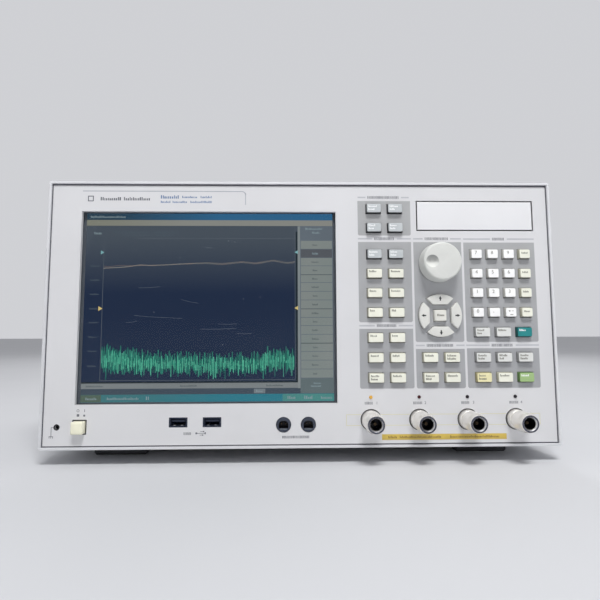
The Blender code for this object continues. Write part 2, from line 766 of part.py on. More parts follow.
def build_arrow_keys():
    """Four arrow keys and the enter key in their middle, each on its own lip behind the panel."""
    front, back = PANEL_FACE - KEY_REACH, WEB_FRONT + WEB_THICKNESS / 2
    for name, angle in ARROWS:
        lip = outline_object(f"{name}_lip", arrow_outline(ARROW_LIP), WEB_THICKNESS / 2, PARTS)
        place_arrow(lip, angle, depth(back))
        lip = as_mesh(lip, name)
        lip.data.materials.clear()
        lip.data.materials.append(KEY_RUBBER)
        cap = outline_object(f"{name}_cap", arrow_outline(), (back - front) / 2, HELPERS)
        place_arrow(cap, angle, depth((front + back) / 2))
        cap = as_mesh(cap, f"{name}_cap_mesh")
        cap.hide_render = True
        cap.display_type = "WIRE"
        combine(lip, cap, "UNION")
    x, z = from_right(CENTRE_BLOCK), up(ARROWS_HEIGHT_ON_PANEL)
    bm = bmesh.new()
    add_block(
        bm,
        (x - ENTER_WIDTH / 2 - ARROW_LIP, depth(WEB_FRONT), z - ENTER_HEIGHT / 2 - ARROW_LIP),
        (x + ENTER_WIDTH / 2 + ARROW_LIP, depth(WEB_BACK), z + ENTER_HEIGHT / 2 + ARROW_LIP),
    )
    web = object_from(bm, "enter_key", PARTS, KEY_RUBBER)
    bm = bmesh.new()
    add_key(bm, x, z, ENTER_WIDTH, ENTER_HEIGHT, KEY_CORNER)
    soften_front(bm, depth(front), KEY_TOP_CHAMFER)
    combine(web, helper_from(bm, "enter_cap"), "UNION")


def build_key_board():
    """The board behind the keys, with the knob's encoder soldered to its front."""
    board_front = KEY_BOARD_DEPTH
    left = from_right(LEFT_BLOCK) - PAIR_PITCH / 2 - KEY_WIDTH / 2 - WEB_MARGIN - KEY_BOARD_MARGIN
    digits_half = 1.5 * DIGIT_PITCH + DIGIT_KEY_WIDTH / 2
    right = from_right(RIGHT_BLOCK) + digits_half + KEY_BOARD_MARGIN
    bottom = up(MIDDLE_ROW - 2 * ROW_PITCH) - KEY_HEIGHT / 2 - KEY_BOARD_MARGIN
    board = block_object(
        "key_board",
        (left, depth(board_front), bottom),
        (right, depth(board_front + BOARD_THICKNESS), up(BAY_BOTTOM) - BAY_FLANGE),
        BOARD,
    )
    x, z = from_right(CENTRE_BLOCK), up(KNOB_HEIGHT_ON_PANEL)
    bm = bmesh.new()
    add_block(
        bm,
        (x - ENCODER_WIDTH / 2, depth(board_front - ENCODER_THICKNESS), z - ENCODER_WIDTH / 2),
        (x + ENCODER_WIDTH / 2, depth(board_front + BOARD_THICKNESS / 2), z + ENCODER_WIDTH / 2),
    )
    combine(board, helper_from(bm, "encoder_body"), "UNION")
    bm = bmesh.new()
    bushing_start = PANEL_FACE + PANEL_THICKNESS / 2
    add_rod(
        bm,
        BUSHING_RADIUS,
        (x, depth(bushing_start), z),
        board_front - ENCODER_THICKNESS / 2 - bushing_start,
        "Y",
        PROBE_SIDES,
    )
    combine(board, helper_from(bm, "encoder_bushing"), "UNION")
    bm = bmesh.new()
    add_rod(
        bm,
        KNOB_SHAFT_RADIUS + RUNNING_CLEARANCE,
        (x, depth(0), z),
        board_front + GAP,
        "Y",
        KNOB_SIDES,
    )
    combine(board, helper_from(bm, "encoder_bore"), "DIFFERENCE")


def turned_object(name, profile, sides, material, x, z):
    """A body turned about an axis that runs front to back: profile is (radius, depth), front to rear."""
    mesh = bpy.data.meshes.new(name)
    bm = bmesh.new()
    verts = [bm.verts.new((radius, 0.0, -along)) for radius, along in profile]
    for first, second in zip(verts, verts[1:]):
        bm.edges.new((first, second))
    bm.to_mesh(mesh)
    bm.free()
    made = bpy.data.objects.new(name, mesh)
    made.matrix_world = Matrix.Translation((x, depth(0), z)) @ Matrix.Rotation(math.pi / 2, 4, "X")
    PARTS.objects.link(made)
    mesh.materials.append(material)
    screw = made.modifiers.new("turn", "SCREW")
    screw.axis = "Z"
    screw.steps = sides
    screw.render_steps = sides
    screw.use_merge_vertices = True
    screw.merge_threshold = 0.00001
    screw.use_smooth_shade = True
    return made


def build_knob():
    """Finger-dimpled knob, moulded on its shaft; it turns about the shaft's axis."""
    x, z = from_right(CENTRE_BLOCK), up(KNOB_HEIGHT_ON_PANEL)
    base = PANEL_FACE - KNOB_AIR
    face = base - KNOB_LENGTH
    shaft_end = KEY_BOARD_DEPTH - GAP
    profile = [
        (0.0, face),
        (KNOB_FACE_RADIUS - KNOB_EDGE, face),
        (KNOB_FACE_RADIUS - 0.3 * KNOB_EDGE, face + 0.3 * KNOB_EDGE),
        (KNOB_FACE_RADIUS, face + KNOB_EDGE),
        (KNOB_BASE_RADIUS, base),
        (KNOB_SHAFT_RADIUS, base),
        (KNOB_SHAFT_RADIUS, shaft_end),
        (0.0, shaft_end),
    ]
    knob = turned_object("rotary_knob", profile, KNOB_SIDES, KNOB_PLASTIC, x, z)
    ball = (DIMPLE_RADIUS**2 + DIMPLE_DEPTH**2) / (2 * DIMPLE_DEPTH)
    centre = Vector((x - DIMPLE_OFFSET, depth(face + DIMPLE_DEPTH - ball), z))
    bm = bmesh.new()
    bmesh.ops.create_uvsphere(
        bm,
        u_segments=24,
        v_segments=16,
        radius=ball,
        matrix=Matrix.Translation(centre) @ Matrix.Rotation(math.pi / 2, 4, "X"),
    )
    combine(knob, helper_from(bm, "knob_dimple"), "DIFFERENCE")


def build_switch():
    """Push button on a square stem, and the latching switch that the stem enters."""
    x, z = from_left(SWITCH_LEFT), up(SWITCH_HEIGHT_ON_PANEL)
    cap_end = PANEL_BACK + BUTTON_TAIL
    stem_end = cap_end + STEM_LENGTH
    body_start = cap_end + BUTTON_TRAVEL + STOP_AIR
    button = block_object(
        "standby_button",
        (x - BUTTON_WIDTH / 2, depth(PANEL_FACE - BUTTON_REACH), z - BUTTON_HEIGHT / 2),
        (x + BUTTON_WIDTH / 2, depth(cap_end), z + BUTTON_HEIGHT / 2),
        BUTTON_PLASTIC,
        BUTTON_EDGE,
    )
    bm = bmesh.new()
    add_block(
        bm,
        (x - STEM_WIDTH / 2, depth(PANEL_BACK), z - STEM_WIDTH / 2),
        (x + STEM_WIDTH / 2, depth(stem_end), z + STEM_WIDTH / 2),
    )
    combine(button, helper_from(bm, "button_stem"), "UNION")
    body = block_object(
        "standby_switch",
        (x - SWITCH_BODY_WIDTH / 2, depth(body_start), z - SWITCH_BODY_HEIGHT / 2),
        (x + SWITCH_BODY_WIDTH / 2, depth(body_start + SWITCH_BODY_LENGTH), z + SWITCH_BODY_HEIGHT / 2),
        DARK_PLASTIC,
    )
    half = STEM_WIDTH / 2 + STEM_CLEARANCE
    bm = bmesh.new()
    add_block(
        bm,
        (x - half, depth(body_start - GAP), z - half),
        (x + half, depth(stem_end + BUTTON_TRAVEL + STOP_AIR), z + half),
    )
    combine(body, helper_from(bm, "switch_bore"), "DIFFERENCE")


# Connectors on the front panel


def build_test_ports():
    """Coaxial sockets: a lip, a threaded barrel, a groove, a collar, and a tail to the test set."""
    tip = -PORT_TIP
    collar = PANEL_FACE - PORT_COLLAR_LENGTH
    flange = PANEL_BACK + GAP
    tail_end = TEST_SET_FRONT - GAP
    bore_end = tip + PORT_BORE_DEPTH
    profile = [
        (0.0, tip + PORT_PIN_RECESS),
        (PORT_PIN_RADIUS, tip + PORT_PIN_RECESS),
        (PORT_PIN_RADIUS, bore_end),
        (PORT_BORE_RADIUS, bore_end),
        (PORT_BORE_RADIUS, tip),
        (PORT_LIP_RADIUS, tip),
        (PORT_LIP_RADIUS, tip + PORT_LIP_LENGTH),
        (PORT_BARREL_RADIUS, tip + PORT_LIP_LENGTH + PORT_TAPER_LENGTH),
        (PORT_BARREL_RADIUS, collar - PORT_GROOVE_WIDTH),
        (PORT_BARREL_RADIUS - PORT_GROOVE_DEPTH, collar - PORT_GROOVE_WIDTH),
        (PORT_BARREL_RADIUS - PORT_GROOVE_DEPTH, collar),
        (PORT_BARREL_RADIUS, collar),
        (PORT_BARREL_RADIUS, flange),
        (PORT_FLANGE_RADIUS, flange),
        (PORT_FLANGE_RADIUS, flange + PORT_FLANGE_THICKNESS),
        (PORT_TAIL_RADIUS, flange + PORT_FLANGE_THICKNESS),
        (PORT_TAIL_RADIUS, tail_end),
        (0.0, tail_end),
    ]
    for i in range(PORT_COUNT):
        turned_object(f"test_port_{i + 1}", profile, PORT_SIDES, NICKEL, port_x(i), up(PORT_HEIGHT_ON_PANEL))


def build_socket_module():
    """Two serial data sockets on one small board."""
    z = up(SOCKET_HEIGHT_ON_PANEL)
    front = PANEL_FACE + GAP
    xs = [from_left(left) for left in SOCKET_MIDDLES]
    bottom = z - SOCKET_HEIGHT / 2
    board = block_object(
        "data_socket_board",
        (
            xs[0] - SOCKET_WIDTH / 2 - SOCKET_BOARD_MARGIN,
            depth(PANEL_BACK + BOARD_AIR),
            bottom - BOARD_THICKNESS + SOCKET_WALL / 2,
        ),
        (
            xs[1] + SOCKET_WIDTH / 2 + SOCKET_BOARD_MARGIN,
            depth(front + SOCKET_LENGTH + SOCKET_BOARD_MARGIN),
            bottom + SOCKET_WALL / 2,
        ),
        BOARD,
    )
    bm = bmesh.new()
    for x in xs:
        add_block(
            bm,
            (x - SOCKET_WIDTH / 2, depth(front), bottom),
            (x + SOCKET_WIDTH / 2, depth(front + SOCKET_LENGTH), z + SOCKET_HEIGHT / 2),
        )
    combine(board, helper_from(bm, "socket_shells"), "UNION")
    bm = bmesh.new()
    for x in xs:
        half_width = SOCKET_WIDTH / 2 - SOCKET_WALL
        half_height = SOCKET_HEIGHT / 2 - SOCKET_WALL
        add_block(
            bm,
            (x - half_width, depth(front - SOCKET_WALL), z - half_height),
            (x + half_width, depth(front + SOCKET_CAVITY), z + half_height),
        )
    combine(board, helper_from(bm, "socket_cavities"), "DIFFERENCE")


def build_probe_module():
    """Two round probe power sockets on one small board."""
    z = up(PROBE_HEIGHT_ON_PANEL)
    front = PANEL_FACE - PROBE_PROUD
    xs = [from_left(left) for left in PROBE_MIDDLES]
    back = front + PROBE_LENGTH
    reach = PROBE_RADIUS + PROBE_BOARD_MARGIN
    low = max(z - reach, BODY_BOTTOM + FRAME_LEDGE + GAP)
    high = min(z + reach, up(DISPLAY_BOTTOM) - MODULE_OVERLAP - BOARD_AIR)
    board = block_object(
        "probe_power_board",
        (xs[0] - reach, depth(back - GAP), low),
        (xs[1] + reach, depth(back - GAP + BOARD_THICKNESS), high),
        BOARD,
    )
    bm = bmesh.new()
    for x in xs:
        add_rod(bm, PROBE_RADIUS, (x, depth(front), z), PROBE_LENGTH, "Y", PROBE_SIDES)
    combine(board, helper_from(bm, "probe_barrels"), "UNION")
    bm = bmesh.new()
    for x in xs:
        add_block(
            bm,
            (x - PROBE_CAVITY_WIDTH / 2, depth(front - PROBE_PROUD), z - PROBE_CAVITY_HEIGHT / 2),
            (x + PROBE_CAVITY_WIDTH / 2, depth(front + PROBE_CAVITY_DEPTH), z + PROBE_CAVITY_HEIGHT / 2),
        )
    combine(board, helper_from(bm, "probe_cavities"), "DIFFERENCE")


def build_ground_jack():
    """Banana socket behind its hole in the panel."""
    start = PANEL_BACK + GAP
    profile = [
        (0.0, start + GROUND_BORE_DEPTH),
        (GROUND_BORE_RADIUS, start + GROUND_BORE_DEPTH),
        (GROUND_BORE_RADIUS, start),
        (GROUND_RADIUS, start),
        (GROUND_RADIUS, start + GROUND_LENGTH),
        (0.0, start + GROUND_LENGTH),
    ]
    x, z = from_left(GROUND_LEFT), up(GROUND_HEIGHT_ON_PANEL)
    turned_object("ground_jack", profile, GROUND_SIDES, NICKEL, x, z)


# Inside the cabinet


def build_test_set():
    """Machined box with the radio-frequency parts, behind the ports."""
    left = port_x(0) - TEST_SET_MARGIN
    right = port_x(PORT_COUNT - 1) + TEST_SET_MARGIN
    block_object(
        "rf_test_set",
        (left, depth(TEST_SET_FRONT), FLOOR),
        (right, depth(TEST_SET_FRONT + TEST_SET_LENGTH), FLOOR + TEST_SET_HEIGHT),
        STEEL,
        GAP,
    )


def build_power_supply():
    left = from_left(SUPPLY_LEFT)
    block_object(
        "power_supply",
        (left, depth(SUPPLY_FRONT), FLOOR),
        (left + SUPPLY_WIDTH, depth(SUPPLY_FRONT + SUPPLY_LENGTH), FLOOR + SUPPLY_HEIGHT),
        ZINC,
        GAP,
    )


def connector_boxes():
    """Low and high corners of the sockets on the main board's rear edge, from the right edge leftwards."""
    z = FLOOR + MAIN_BOARD_LIFT + BOARD_THICKNESS
    right = from_right(COVER_INSET + REAR_FOOT_SIDE + CONNECTOR_SPACE)
    boxes = []
    for width, height in CONNECTORS:
        low = (right - width, depth(REAR_FACE + CONNECTOR_PROUD - CONNECTOR_DEPTH), z - CONNECTOR_SINK)
        high = (right, depth(REAR_FACE + CONNECTOR_PROUD), z + height)
        boxes.append((low, high))
        right -= width + CONNECTOR_SPACE
    return boxes


def build_main_board():
    """Processor board on the chassis floor, with its sockets reaching through the rear panel."""
    boxes = connector_boxes()
    end = REAR_INNER - BOARD_AIR
    left = boxes[-1][0][0] - CONNECTOR_SPACE
    z = FLOOR + MAIN_BOARD_LIFT
    board = block_object(
        "main_board",
        (left, depth(end - MAIN_BOARD_LENGTH), z),
        (from_right(MAIN_BOARD_RIGHT), depth(end), z + BOARD_THICKNESS),
        BOARD,
    )
    bm = bmesh.new()
    for low, high in boxes:
        add_block(bm, low, high)
    combine(board, helper_from(bm, "rear_sockets"), "UNION")


def fan_centre():
    return from_right(FAN_FROM_RIGHT), up(FAN_HEIGHT_ON_PANEL)


def build_rear_panel():
    """Plate across the sleeve's rear end, with the fan grille and the socket openings."""
    edge = COVER_WALL + GAP
    panel = block_object(
        "rear_panel",
        (-COVER_HALF + edge, depth(REAR_INNER), COVER_LOW + edge),
        (COVER_HALF - edge, depth(REAR_FACE), COVER_HIGH - edge),
        COVER_PAINT,
    )
    before, behind = depth(REAR_INNER - REAR_THICKNESS), depth(REAR_FACE + REAR_THICKNESS)
    bm = bmesh.new()
    fan_x, fan_z = fan_centre()
    for i in range(GRILLE_SLOTS):
        offset = (i - (GRILLE_SLOTS - 1) / 2) * GRILLE_PITCH
        half_slot = math.sqrt(FAN_BORE_RADIUS**2 - offset**2) - GRILLE_SLOT / 2
        x = fan_x + offset
        add_block(
            bm,
            (x - GRILLE_SLOT / 2, before, fan_z - half_slot),
            (x + GRILLE_SLOT / 2, behind, fan_z + half_slot),
        )
    space = REAR_OPENING_CLEARANCE
    for low_corner, high_corner in connector_boxes():
        add_block(
            bm,
            (low_corner[0] - space, before, low_corner[2] - space),
            (high_corner[0] + space, behind, high_corner[2] + space),
        )
    x, z = from_left(INLET_LEFT), up(INLET_HEIGHT_ON_PANEL)
    add_block(
        bm,
        (x - INLET_WIDTH / 2 - space, before, z - INLET_HEIGHT / 2 - space),
        (x + INLET_WIDTH / 2 + space, behind, z + INLET_HEIGHT / 2 + space),
    )
    combine(panel, helper_from(bm, "rear_openings"), "DIFFERENCE")


def build_inlet():
    """Mains inlet: a flange outside the rear panel and a hollow body through it."""
    x, z = from_left(INLET_LEFT), up(INLET_HEIGHT_ON_PANEL)
    outside = REAR_FACE + GAP + INLET_FLANGE_THICKNESS
    inlet = block_object(
        "mains_inlet",
        (x - INLET_WIDTH / 2, depth(outside - INLET_LENGTH), z - INLET_HEIGHT / 2),
        (x + INLET_WIDTH / 2, depth(outside - INLET_FLANGE_THICKNESS / 2), z + INLET_HEIGHT / 2),
        DARK_PLASTIC,
    )
    bm = bmesh.new()
    add_block(
        bm,
        (x - INLET_WIDTH / 2 - INLET_FLANGE, depth(REAR_FACE + GAP), z - INLET_HEIGHT / 2 - INLET_FLANGE),
        (x + INLET_WIDTH / 2 + INLET_FLANGE, depth(outside), z + INLET_HEIGHT / 2 + INLET_FLANGE),
    )
    combine(inlet, helper_from(bm, "inlet_flange"), "UNION")
    bm = bmesh.new()
    add_block(
        bm,
        (x - INLET_CAVITY_WIDTH / 2, depth(outside - INLET_CAVITY_DEPTH), z - INLET_CAVITY_HEIGHT / 2),
        (x + INLET_CAVITY_WIDTH / 2, depth(outside + GAP), z + INLET_CAVITY_HEIGHT / 2),
    )
    combine(inlet, helper_from(bm, "inlet_cavity"), "DIFFERENCE")


def build_fan():
    """Fan housing with struts behind the rotor, and the rotor that turns in it."""
    x, z = fan_centre()
    back = REAR_INNER - GAP
    front = back - FAN_THICKNESS
    half = FAN_SIDE / 2
    frame = block_object(
        "fan_housing",
        (x - half, depth(front), z - half),
        (x + half, depth(back), z + half),
        DARK_PLASTIC,
        FAN_STRUT_DEPTH,
    )
    bm = bmesh.new()
    add_rod(bm, FAN_BORE_RADIUS, (x, depth(front - GAP), z), FAN_THICKNESS + 2 * GAP, "Y", FAN_SIDES)
    combine(frame, helper_from(bm, "fan_bore"), "DIFFERENCE")
    bm = bmesh.new()
    add_rod(bm, FAN_HUB_RADIUS, (x, depth(back - FAN_STRUT_DEPTH), z), FAN_STRUT_DEPTH, "Y", FAN_SIDES)
    for i in range(FAN_STRUTS):
        spoke = bmesh.new()
        add_block(
            spoke,
            (FAN_HUB_RADIUS / 2, -FAN_STRUT_DEPTH / 2, -FAN_STRUT_WIDTH / 2),
            (FAN_BORE_RADIUS + FAN_TIP_CLEARANCE, FAN_STRUT_DEPTH / 2 - GAP, FAN_STRUT_WIDTH / 2),
        )
        turn = Matrix.Rotation(math.radians(90 + i * 360 / FAN_STRUTS), 4, "Y")
        place = Matrix.Translation((x, depth(back - FAN_STRUT_DEPTH / 2), z)) @ turn
        bmesh.ops.transform(spoke, matrix=place, verts=spoke.verts)
        combine(frame, helper_from(spoke, f"fan_strut_{i + 1}"), "UNION")
    combine(frame, helper_from(bm, "fan_motor_plate"), "UNION")

    hub_start = front + GAP
    bm = bmesh.new()
    add_rod(bm, FAN_HUB_RADIUS, (x, depth(hub_start), z), FAN_HUB_LENGTH, "Y", FAN_SIDES)
    rotor = object_from(bm, "fan_rotor", PARTS, DARK_PLASTIC)
    bm = bmesh.new()
    root = FAN_HUB_RADIUS - FAN_STRUT_DEPTH
    tip = FAN_BORE_RADIUS - FAN_TIP_CLEARANCE
    for i in range(FAN_BLADES):
        verts = add_block(
            bm,
            (root, -FAN_BLADE_CHORD / 2, -FAN_BLADE_THICKNESS / 2),
            (tip, FAN_BLADE_CHORD / 2, FAN_BLADE_THICKNESS / 2),
        )
        pitch = Matrix.Rotation(FAN_BLADE_PITCH - math.pi / 2, 4, "X")
        turn = Matrix.Rotation(2 * math.pi * i / FAN_BLADES, 4, "Y")
        place = Matrix.Translation((x, depth(hub_start + FAN_HUB_LENGTH / 2), z)) @ turn @ pitch
        bmesh.ops.transform(bm, matrix=place, verts=verts)
    combine(rotor, helper_from(bm, "fan_blades"), "UNION")


# Feet and straps


def foot_x(side):
    return side * (HALF_WIDTH - FOOT_INSET - FOOT_WIDTH / 2)


def leg_pivot():
    """Distance behind the rim, and Z, of the tilt legs' pivots."""
    clear = LEG_CLEARANCE + LEG_PIVOT_RADIUS
    return FOOT_FRONT + FOOT_BAR + clear, FOOT_HEIGHT - GAP - clear


def build_feet():
    """Four feet; the front pair are forks that carry the tilt legs' pivots."""
    for side, word in ((-1, "left"), (1, "right")):
        x = foot_x(side)
        low, high = x - FOOT_WIDTH / 2, x + FOOT_WIDTH / 2
        top = FOOT_HEIGHT - GAP + COVER_INSET
        rear_end = BODY_DEPTH - FOOT_REAR
        block_object(
            f"foot_rear_{word}",
            (low, depth(rear_end - FOOT_LENGTH), 0.0),
            (high, depth(rear_end), top),
            FOOT_RUBBER,
            FOOT_EDGE,
        )
        foot = block_object(
            f"foot_front_{word}",
            (low, depth(FOOT_FRONT), 0.0),
            (high, depth(FOOT_FRONT + FOOT_LENGTH), top),
            FOOT_RUBBER,
            FOOT_EDGE,
        )
        bm = bmesh.new()
        add_block(
            bm,
            (low + EAR_WIDTH, depth(FOOT_FRONT + FOOT_BAR), -FOOT_HEIGHT),
            (high - EAR_WIDTH, depth(FOOT_FRONT + 2 * FOOT_LENGTH), 2 * FOOT_HEIGHT),
        )
        combine(foot, helper_from(bm, f"leg_notch_{word}"), "DIFFERENCE")
        pivot, pivot_z = leg_pivot()
        bm = bmesh.new()
        hole = LEG_PIN_RADIUS + GAP
        reach = LEG_PIN_LENGTH + LEG_CLEARANCE
        start = (low + EAR_WIDTH - reach, depth(pivot), pivot_z)
        add_rod(bm, hole, start, FOOT_WIDTH - 2 * EAR_WIDTH + 2 * reach, "X", LEG_SIDES)
        combine(foot, helper_from(bm, f"leg_pin_holes_{word}"), "DIFFERENCE")


def build_tilt_legs():
    """Flip-down legs: a plate on a barrel with a pin at each end, folded up behind the front feet."""
    pivot, pivot_z = leg_pivot()
    for side, word in ((-1, "left"), (1, "right")):
        x = foot_x(side)
        half = FOOT_WIDTH / 2 - EAR_WIDTH - LEG_CLEARANCE
        top = pivot_z + LEG_PIVOT_RADIUS
        leg = block_object(
            f"tilt_leg_{word}",
            (x - half, depth(pivot), top - LEG_THICKNESS),
            (x + half, depth(pivot + LEG_LENGTH), top),
            DARK_PLASTIC,
            GAP,
        )
        bm = bmesh.new()
        add_rod(bm, LEG_PIVOT_RADIUS, (x - half, depth(pivot), pivot_z), 2 * half, "X", LEG_SIDES)
        combine(leg, helper_from(bm, f"leg_barrel_{word}"), "UNION")
        bm = bmesh.new()
        pin_half = half + LEG_PIN_LENGTH
        add_rod(bm, LEG_PIN_RADIUS, (x - pin_half, depth(pivot), pivot_z), 2 * pin_half, "X", LEG_SIDES)
        combine(leg, helper_from(bm, f"leg_pins_{word}"), "UNION")


def build_rear_feet():
    """Corner blocks behind the rear panel, for standing the instrument on its back."""
    start, end = depth(REAR_FACE + GAP), depth(REAR_FACE + REAR_FOOT_LENGTH)
    for side, word in ((-1, "left"), (1, "right")):
        x_out = side * COVER_HALF
        x_in = side * (COVER_HALF - REAR_FOOT_SIDE)
        low, high = min(x_out, x_in), max(x_out, x_in)
        for level, z in (("lower", COVER_LOW), ("upper", COVER_HIGH - REAR_FOOT_SIDE)):
            block_object(
                f"rear_foot_{level}_{word}",
                (low, start, z),
                (high, end, z + REAR_FOOT_SIDE),
                DARK_PLASTIC,
                REAR_FOOT_EDGE,
            )


def build_straps():
    """Carrying straps: a band with a thick end at each fixing, lying along each side of the cover."""
    for side, word in ((-1, "left"), (1, "right")):
        face = COVER_HALF + GAP
        points = []
        for i in range(STRAP_POINTS + 1):
            share = i / STRAP_POINTS
            rise = STRAP_THICKNESS + STRAP_BOW * math.sin(math.pi * share)
            points.append((side * (face + rise), depth(STRAP_FRONT + STRAP_LENGTH * share)))
        free = STRAP_LENGTH - 2 * STRAP_END
        under = []
        for i in range(STRAP_POINTS + 1):
            share = i / STRAP_POINTS
            along = STRAP_FRONT + STRAP_END + free * share
            whole = (along - STRAP_FRONT) / STRAP_LENGTH
            lift = STRAP_BOW * math.sin(math.pi * whole)
            under.append((side * (face + lift), depth(along)))
        last, first = (side * face, depth(STRAP_FRONT + STRAP_LENGTH)), (side * face, depth(STRAP_FRONT))
        rear_end = (side * face, under[-1][1])
        front_end = (side * face, under[0][1])
        outline = points + [last, rear_end] + under[::-1] + [front_end, first]
        strap = outline_object(f"strap_{word}_outline", outline, STRAP_WIDTH / 2, PARTS)
        strap.location.z = up(STRAP_HEIGHT_ON_BODY)
        bpy.context.view_layer.update()
        strap = as_mesh(strap, f"carrying_strap_{word}")
        strap.data.materials.clear()
        strap.data.materials.append(STRAP_VINYL)


clear_scene()
PARTS = new_collection("vector_network_analyser")
HELPERS = new_collection("cutters")

CAST = new_material("cast_frame_paint", (0.86, 0.86, 0.87), 0.45)
PANEL_PAINT = new_material("panel_paint", (0.80, 0.80, 0.81), 0.5)
COVER_PAINT = new_material("cover_paint", (0.62, 0.63, 0.65), 0.55)
ZINC = new_material("zinc_sheet", (0.60, 0.61, 0.62), 0.4, 0.9)
STEEL = new_material("bright_sheet", (0.70, 0.70, 0.72), 0.35, 0.9)
GLASS = new_material("display_glass", (0.05, 0.08, 0.10), 0.1)
KEY_RUBBER = new_material("key_rubber", (0.87, 0.87, 0.82), 0.6)
KNOB_PLASTIC = new_material("knob_plastic", (0.82, 0.83, 0.80), 0.45)
BUTTON_PLASTIC = new_material("button_plastic", (0.85, 0.84, 0.70), 0.45)
DARK_PLASTIC = new_material("dark_plastic", (0.08, 0.08, 0.09), 0.5)
NICKEL = new_material("nickel_plate", (0.75, 0.74, 0.70), 0.2, 1.0)
BOARD = new_material("circuit_board", (0.05, 0.25, 0.12), 0.5)
FOOT_RUBBER = new_material("foot_rubber", (0.15, 0.15, 0.16), 0.7)
STRAP_VINYL = new_material("strap_vinyl", (0.35, 0.36, 0.38), 0.6)

build_front_frame()
build_front_panel()
build_display()
build_bay_cover()
build_outer_cover()
build_chassis()
for row in key_rows():
    build_key_row(*row)
build_arrow_keys()
build_key_board()
build_knob()
build_switch()
build_test_ports()
build_socket_module()
build_probe_module()
build_ground_jack()
build_test_set()
build_power_supply()
build_main_board()
build_rear_panel()
build_inlet()
build_fan()
build_feet()
build_tilt_legs()
build_rear_feet()
build_straps()
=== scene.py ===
"""The looks of a four-port vector network analyser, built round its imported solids.

The frame is the part's: +Z up, +X to the right as the user faces the instrument, +Y from front to rear.
Places on the front panel are millimetres from the body's left and bottom edges, turned by panel().
"""

import math
import random

import bmesh
import bpy
from mathutils import Matrix, Vector


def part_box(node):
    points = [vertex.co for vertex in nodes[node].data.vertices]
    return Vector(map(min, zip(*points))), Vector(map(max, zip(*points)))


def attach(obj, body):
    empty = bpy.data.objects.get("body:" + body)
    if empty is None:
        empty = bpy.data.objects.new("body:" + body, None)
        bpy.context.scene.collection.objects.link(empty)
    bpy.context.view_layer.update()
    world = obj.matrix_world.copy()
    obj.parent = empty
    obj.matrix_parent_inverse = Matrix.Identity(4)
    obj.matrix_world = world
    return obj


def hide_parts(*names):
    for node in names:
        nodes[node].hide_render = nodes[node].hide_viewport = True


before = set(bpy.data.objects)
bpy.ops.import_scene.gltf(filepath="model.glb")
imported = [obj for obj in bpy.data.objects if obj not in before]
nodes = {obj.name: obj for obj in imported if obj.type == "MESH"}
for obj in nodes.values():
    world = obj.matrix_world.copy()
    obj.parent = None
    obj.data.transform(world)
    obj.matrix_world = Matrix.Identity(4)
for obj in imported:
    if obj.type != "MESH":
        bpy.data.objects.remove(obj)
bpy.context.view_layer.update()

# Camera, lights and floor. The camera stands close in front of the panel, a little below its middle,
# and looks slightly up. A wide soft box hangs above and in front; the floor is plain and pale.

MM = 0.001

camera_data = bpy.data.cameras.new("camera")
camera_data.lens = 26.07
camera_data.sensor_width = 36.0
camera_data.clip_start = 0.01
camera = bpy.data.objects.new("camera", camera_data)
bpy.context.scene.collection.objects.link(camera)
aim = Matrix.Rotation(math.radians(-1.25), 4, "Z") @ Matrix.Rotation(math.radians(94.76), 4, "X")
roll = Matrix.Rotation(math.radians(-0.21), 4, "Z")
camera.matrix_world = Matrix.Translation(Vector((-10.1, -562.1, 103.3)) * MM) @ aim @ roll
bpy.context.scene.camera = camera


def soft_box(name, place, target, width, height, power):
    """A rectangular studio light at a place, facing a target."""
    data = bpy.data.lights.new(name, "AREA")
    data.shape = "RECTANGLE"
    data.size = width
    data.size_y = height
    data.energy = power
    light = bpy.data.objects.new(name, data)
    bpy.context.scene.collection.objects.link(light)
    light.location = place
    light.rotation_euler = (Vector(target) - Vector(place)).to_track_quat("-Z", "Y").to_euler()
    return light


soft_box("key_light", (0.1, -0.95, 1.42), (0.0, -0.2, 0.12), 0.5, 0.24, 18.3)
low_front = soft_box("low_front", (0.3, -1.7, 0.12), (0.05, -0.2, 0.04), 1.1, 0.2, 3.0)
low_front.visible_glossy = False
soft_box("fill_left", (-1.6, -1.0, 0.7), (0.0, 0.0, 0.1), 0.8, 1.0, 2.2)
soft_box("fill_right", (1.7, -0.7, 0.6), (0.1, 0.0, 0.05), 0.8, 1.0, 3.1)
soft_box("back_light", (0.2, 1.7, 1.1), (0.0, 0.1, 0.12), 1.2, 0.7, 12.0)

# The room is paler behind and above the instrument than in front of it.
world = bpy.data.worlds.new("studio")
world.use_nodes = True
room = world.node_tree
place = room.nodes.new("ShaderNodeTexCoord")
axes = room.nodes.new("ShaderNodeSeparateXYZ")
room.links.new(place.outputs["Generated"], axes.inputs["Vector"])
depth_share = room.nodes.new("ShaderNodeMapRange")
depth_share.inputs["From Min"].default_value = -0.9
depth_share.inputs["From Max"].default_value = 0.5
depth_share.inputs["To Min"].default_value = 0.15
depth_share.inputs["To Max"].default_value = 0.66
room.links.new(axes.outputs["Y"], depth_share.inputs["Value"])
room.links.new(depth_share.outputs["Result"], room.nodes["Background"].inputs["Strength"])
room.nodes["Background"].inputs["Color"].default_value = (0.95, 0.96, 1.0, 1.0)
bpy.context.scene.world = world
bpy.context.scene.view_settings.view_transform = "Standard"


def tone(red, green, blue):
    """A shader colour from its usual 0 to 255 values."""
    return tuple(
        (c / 12.92 if c <= 0.04045 else ((c + 0.055) / 1.055) ** 2.4)
        for c in (red / 255, green / 255, blue / 255)
    )


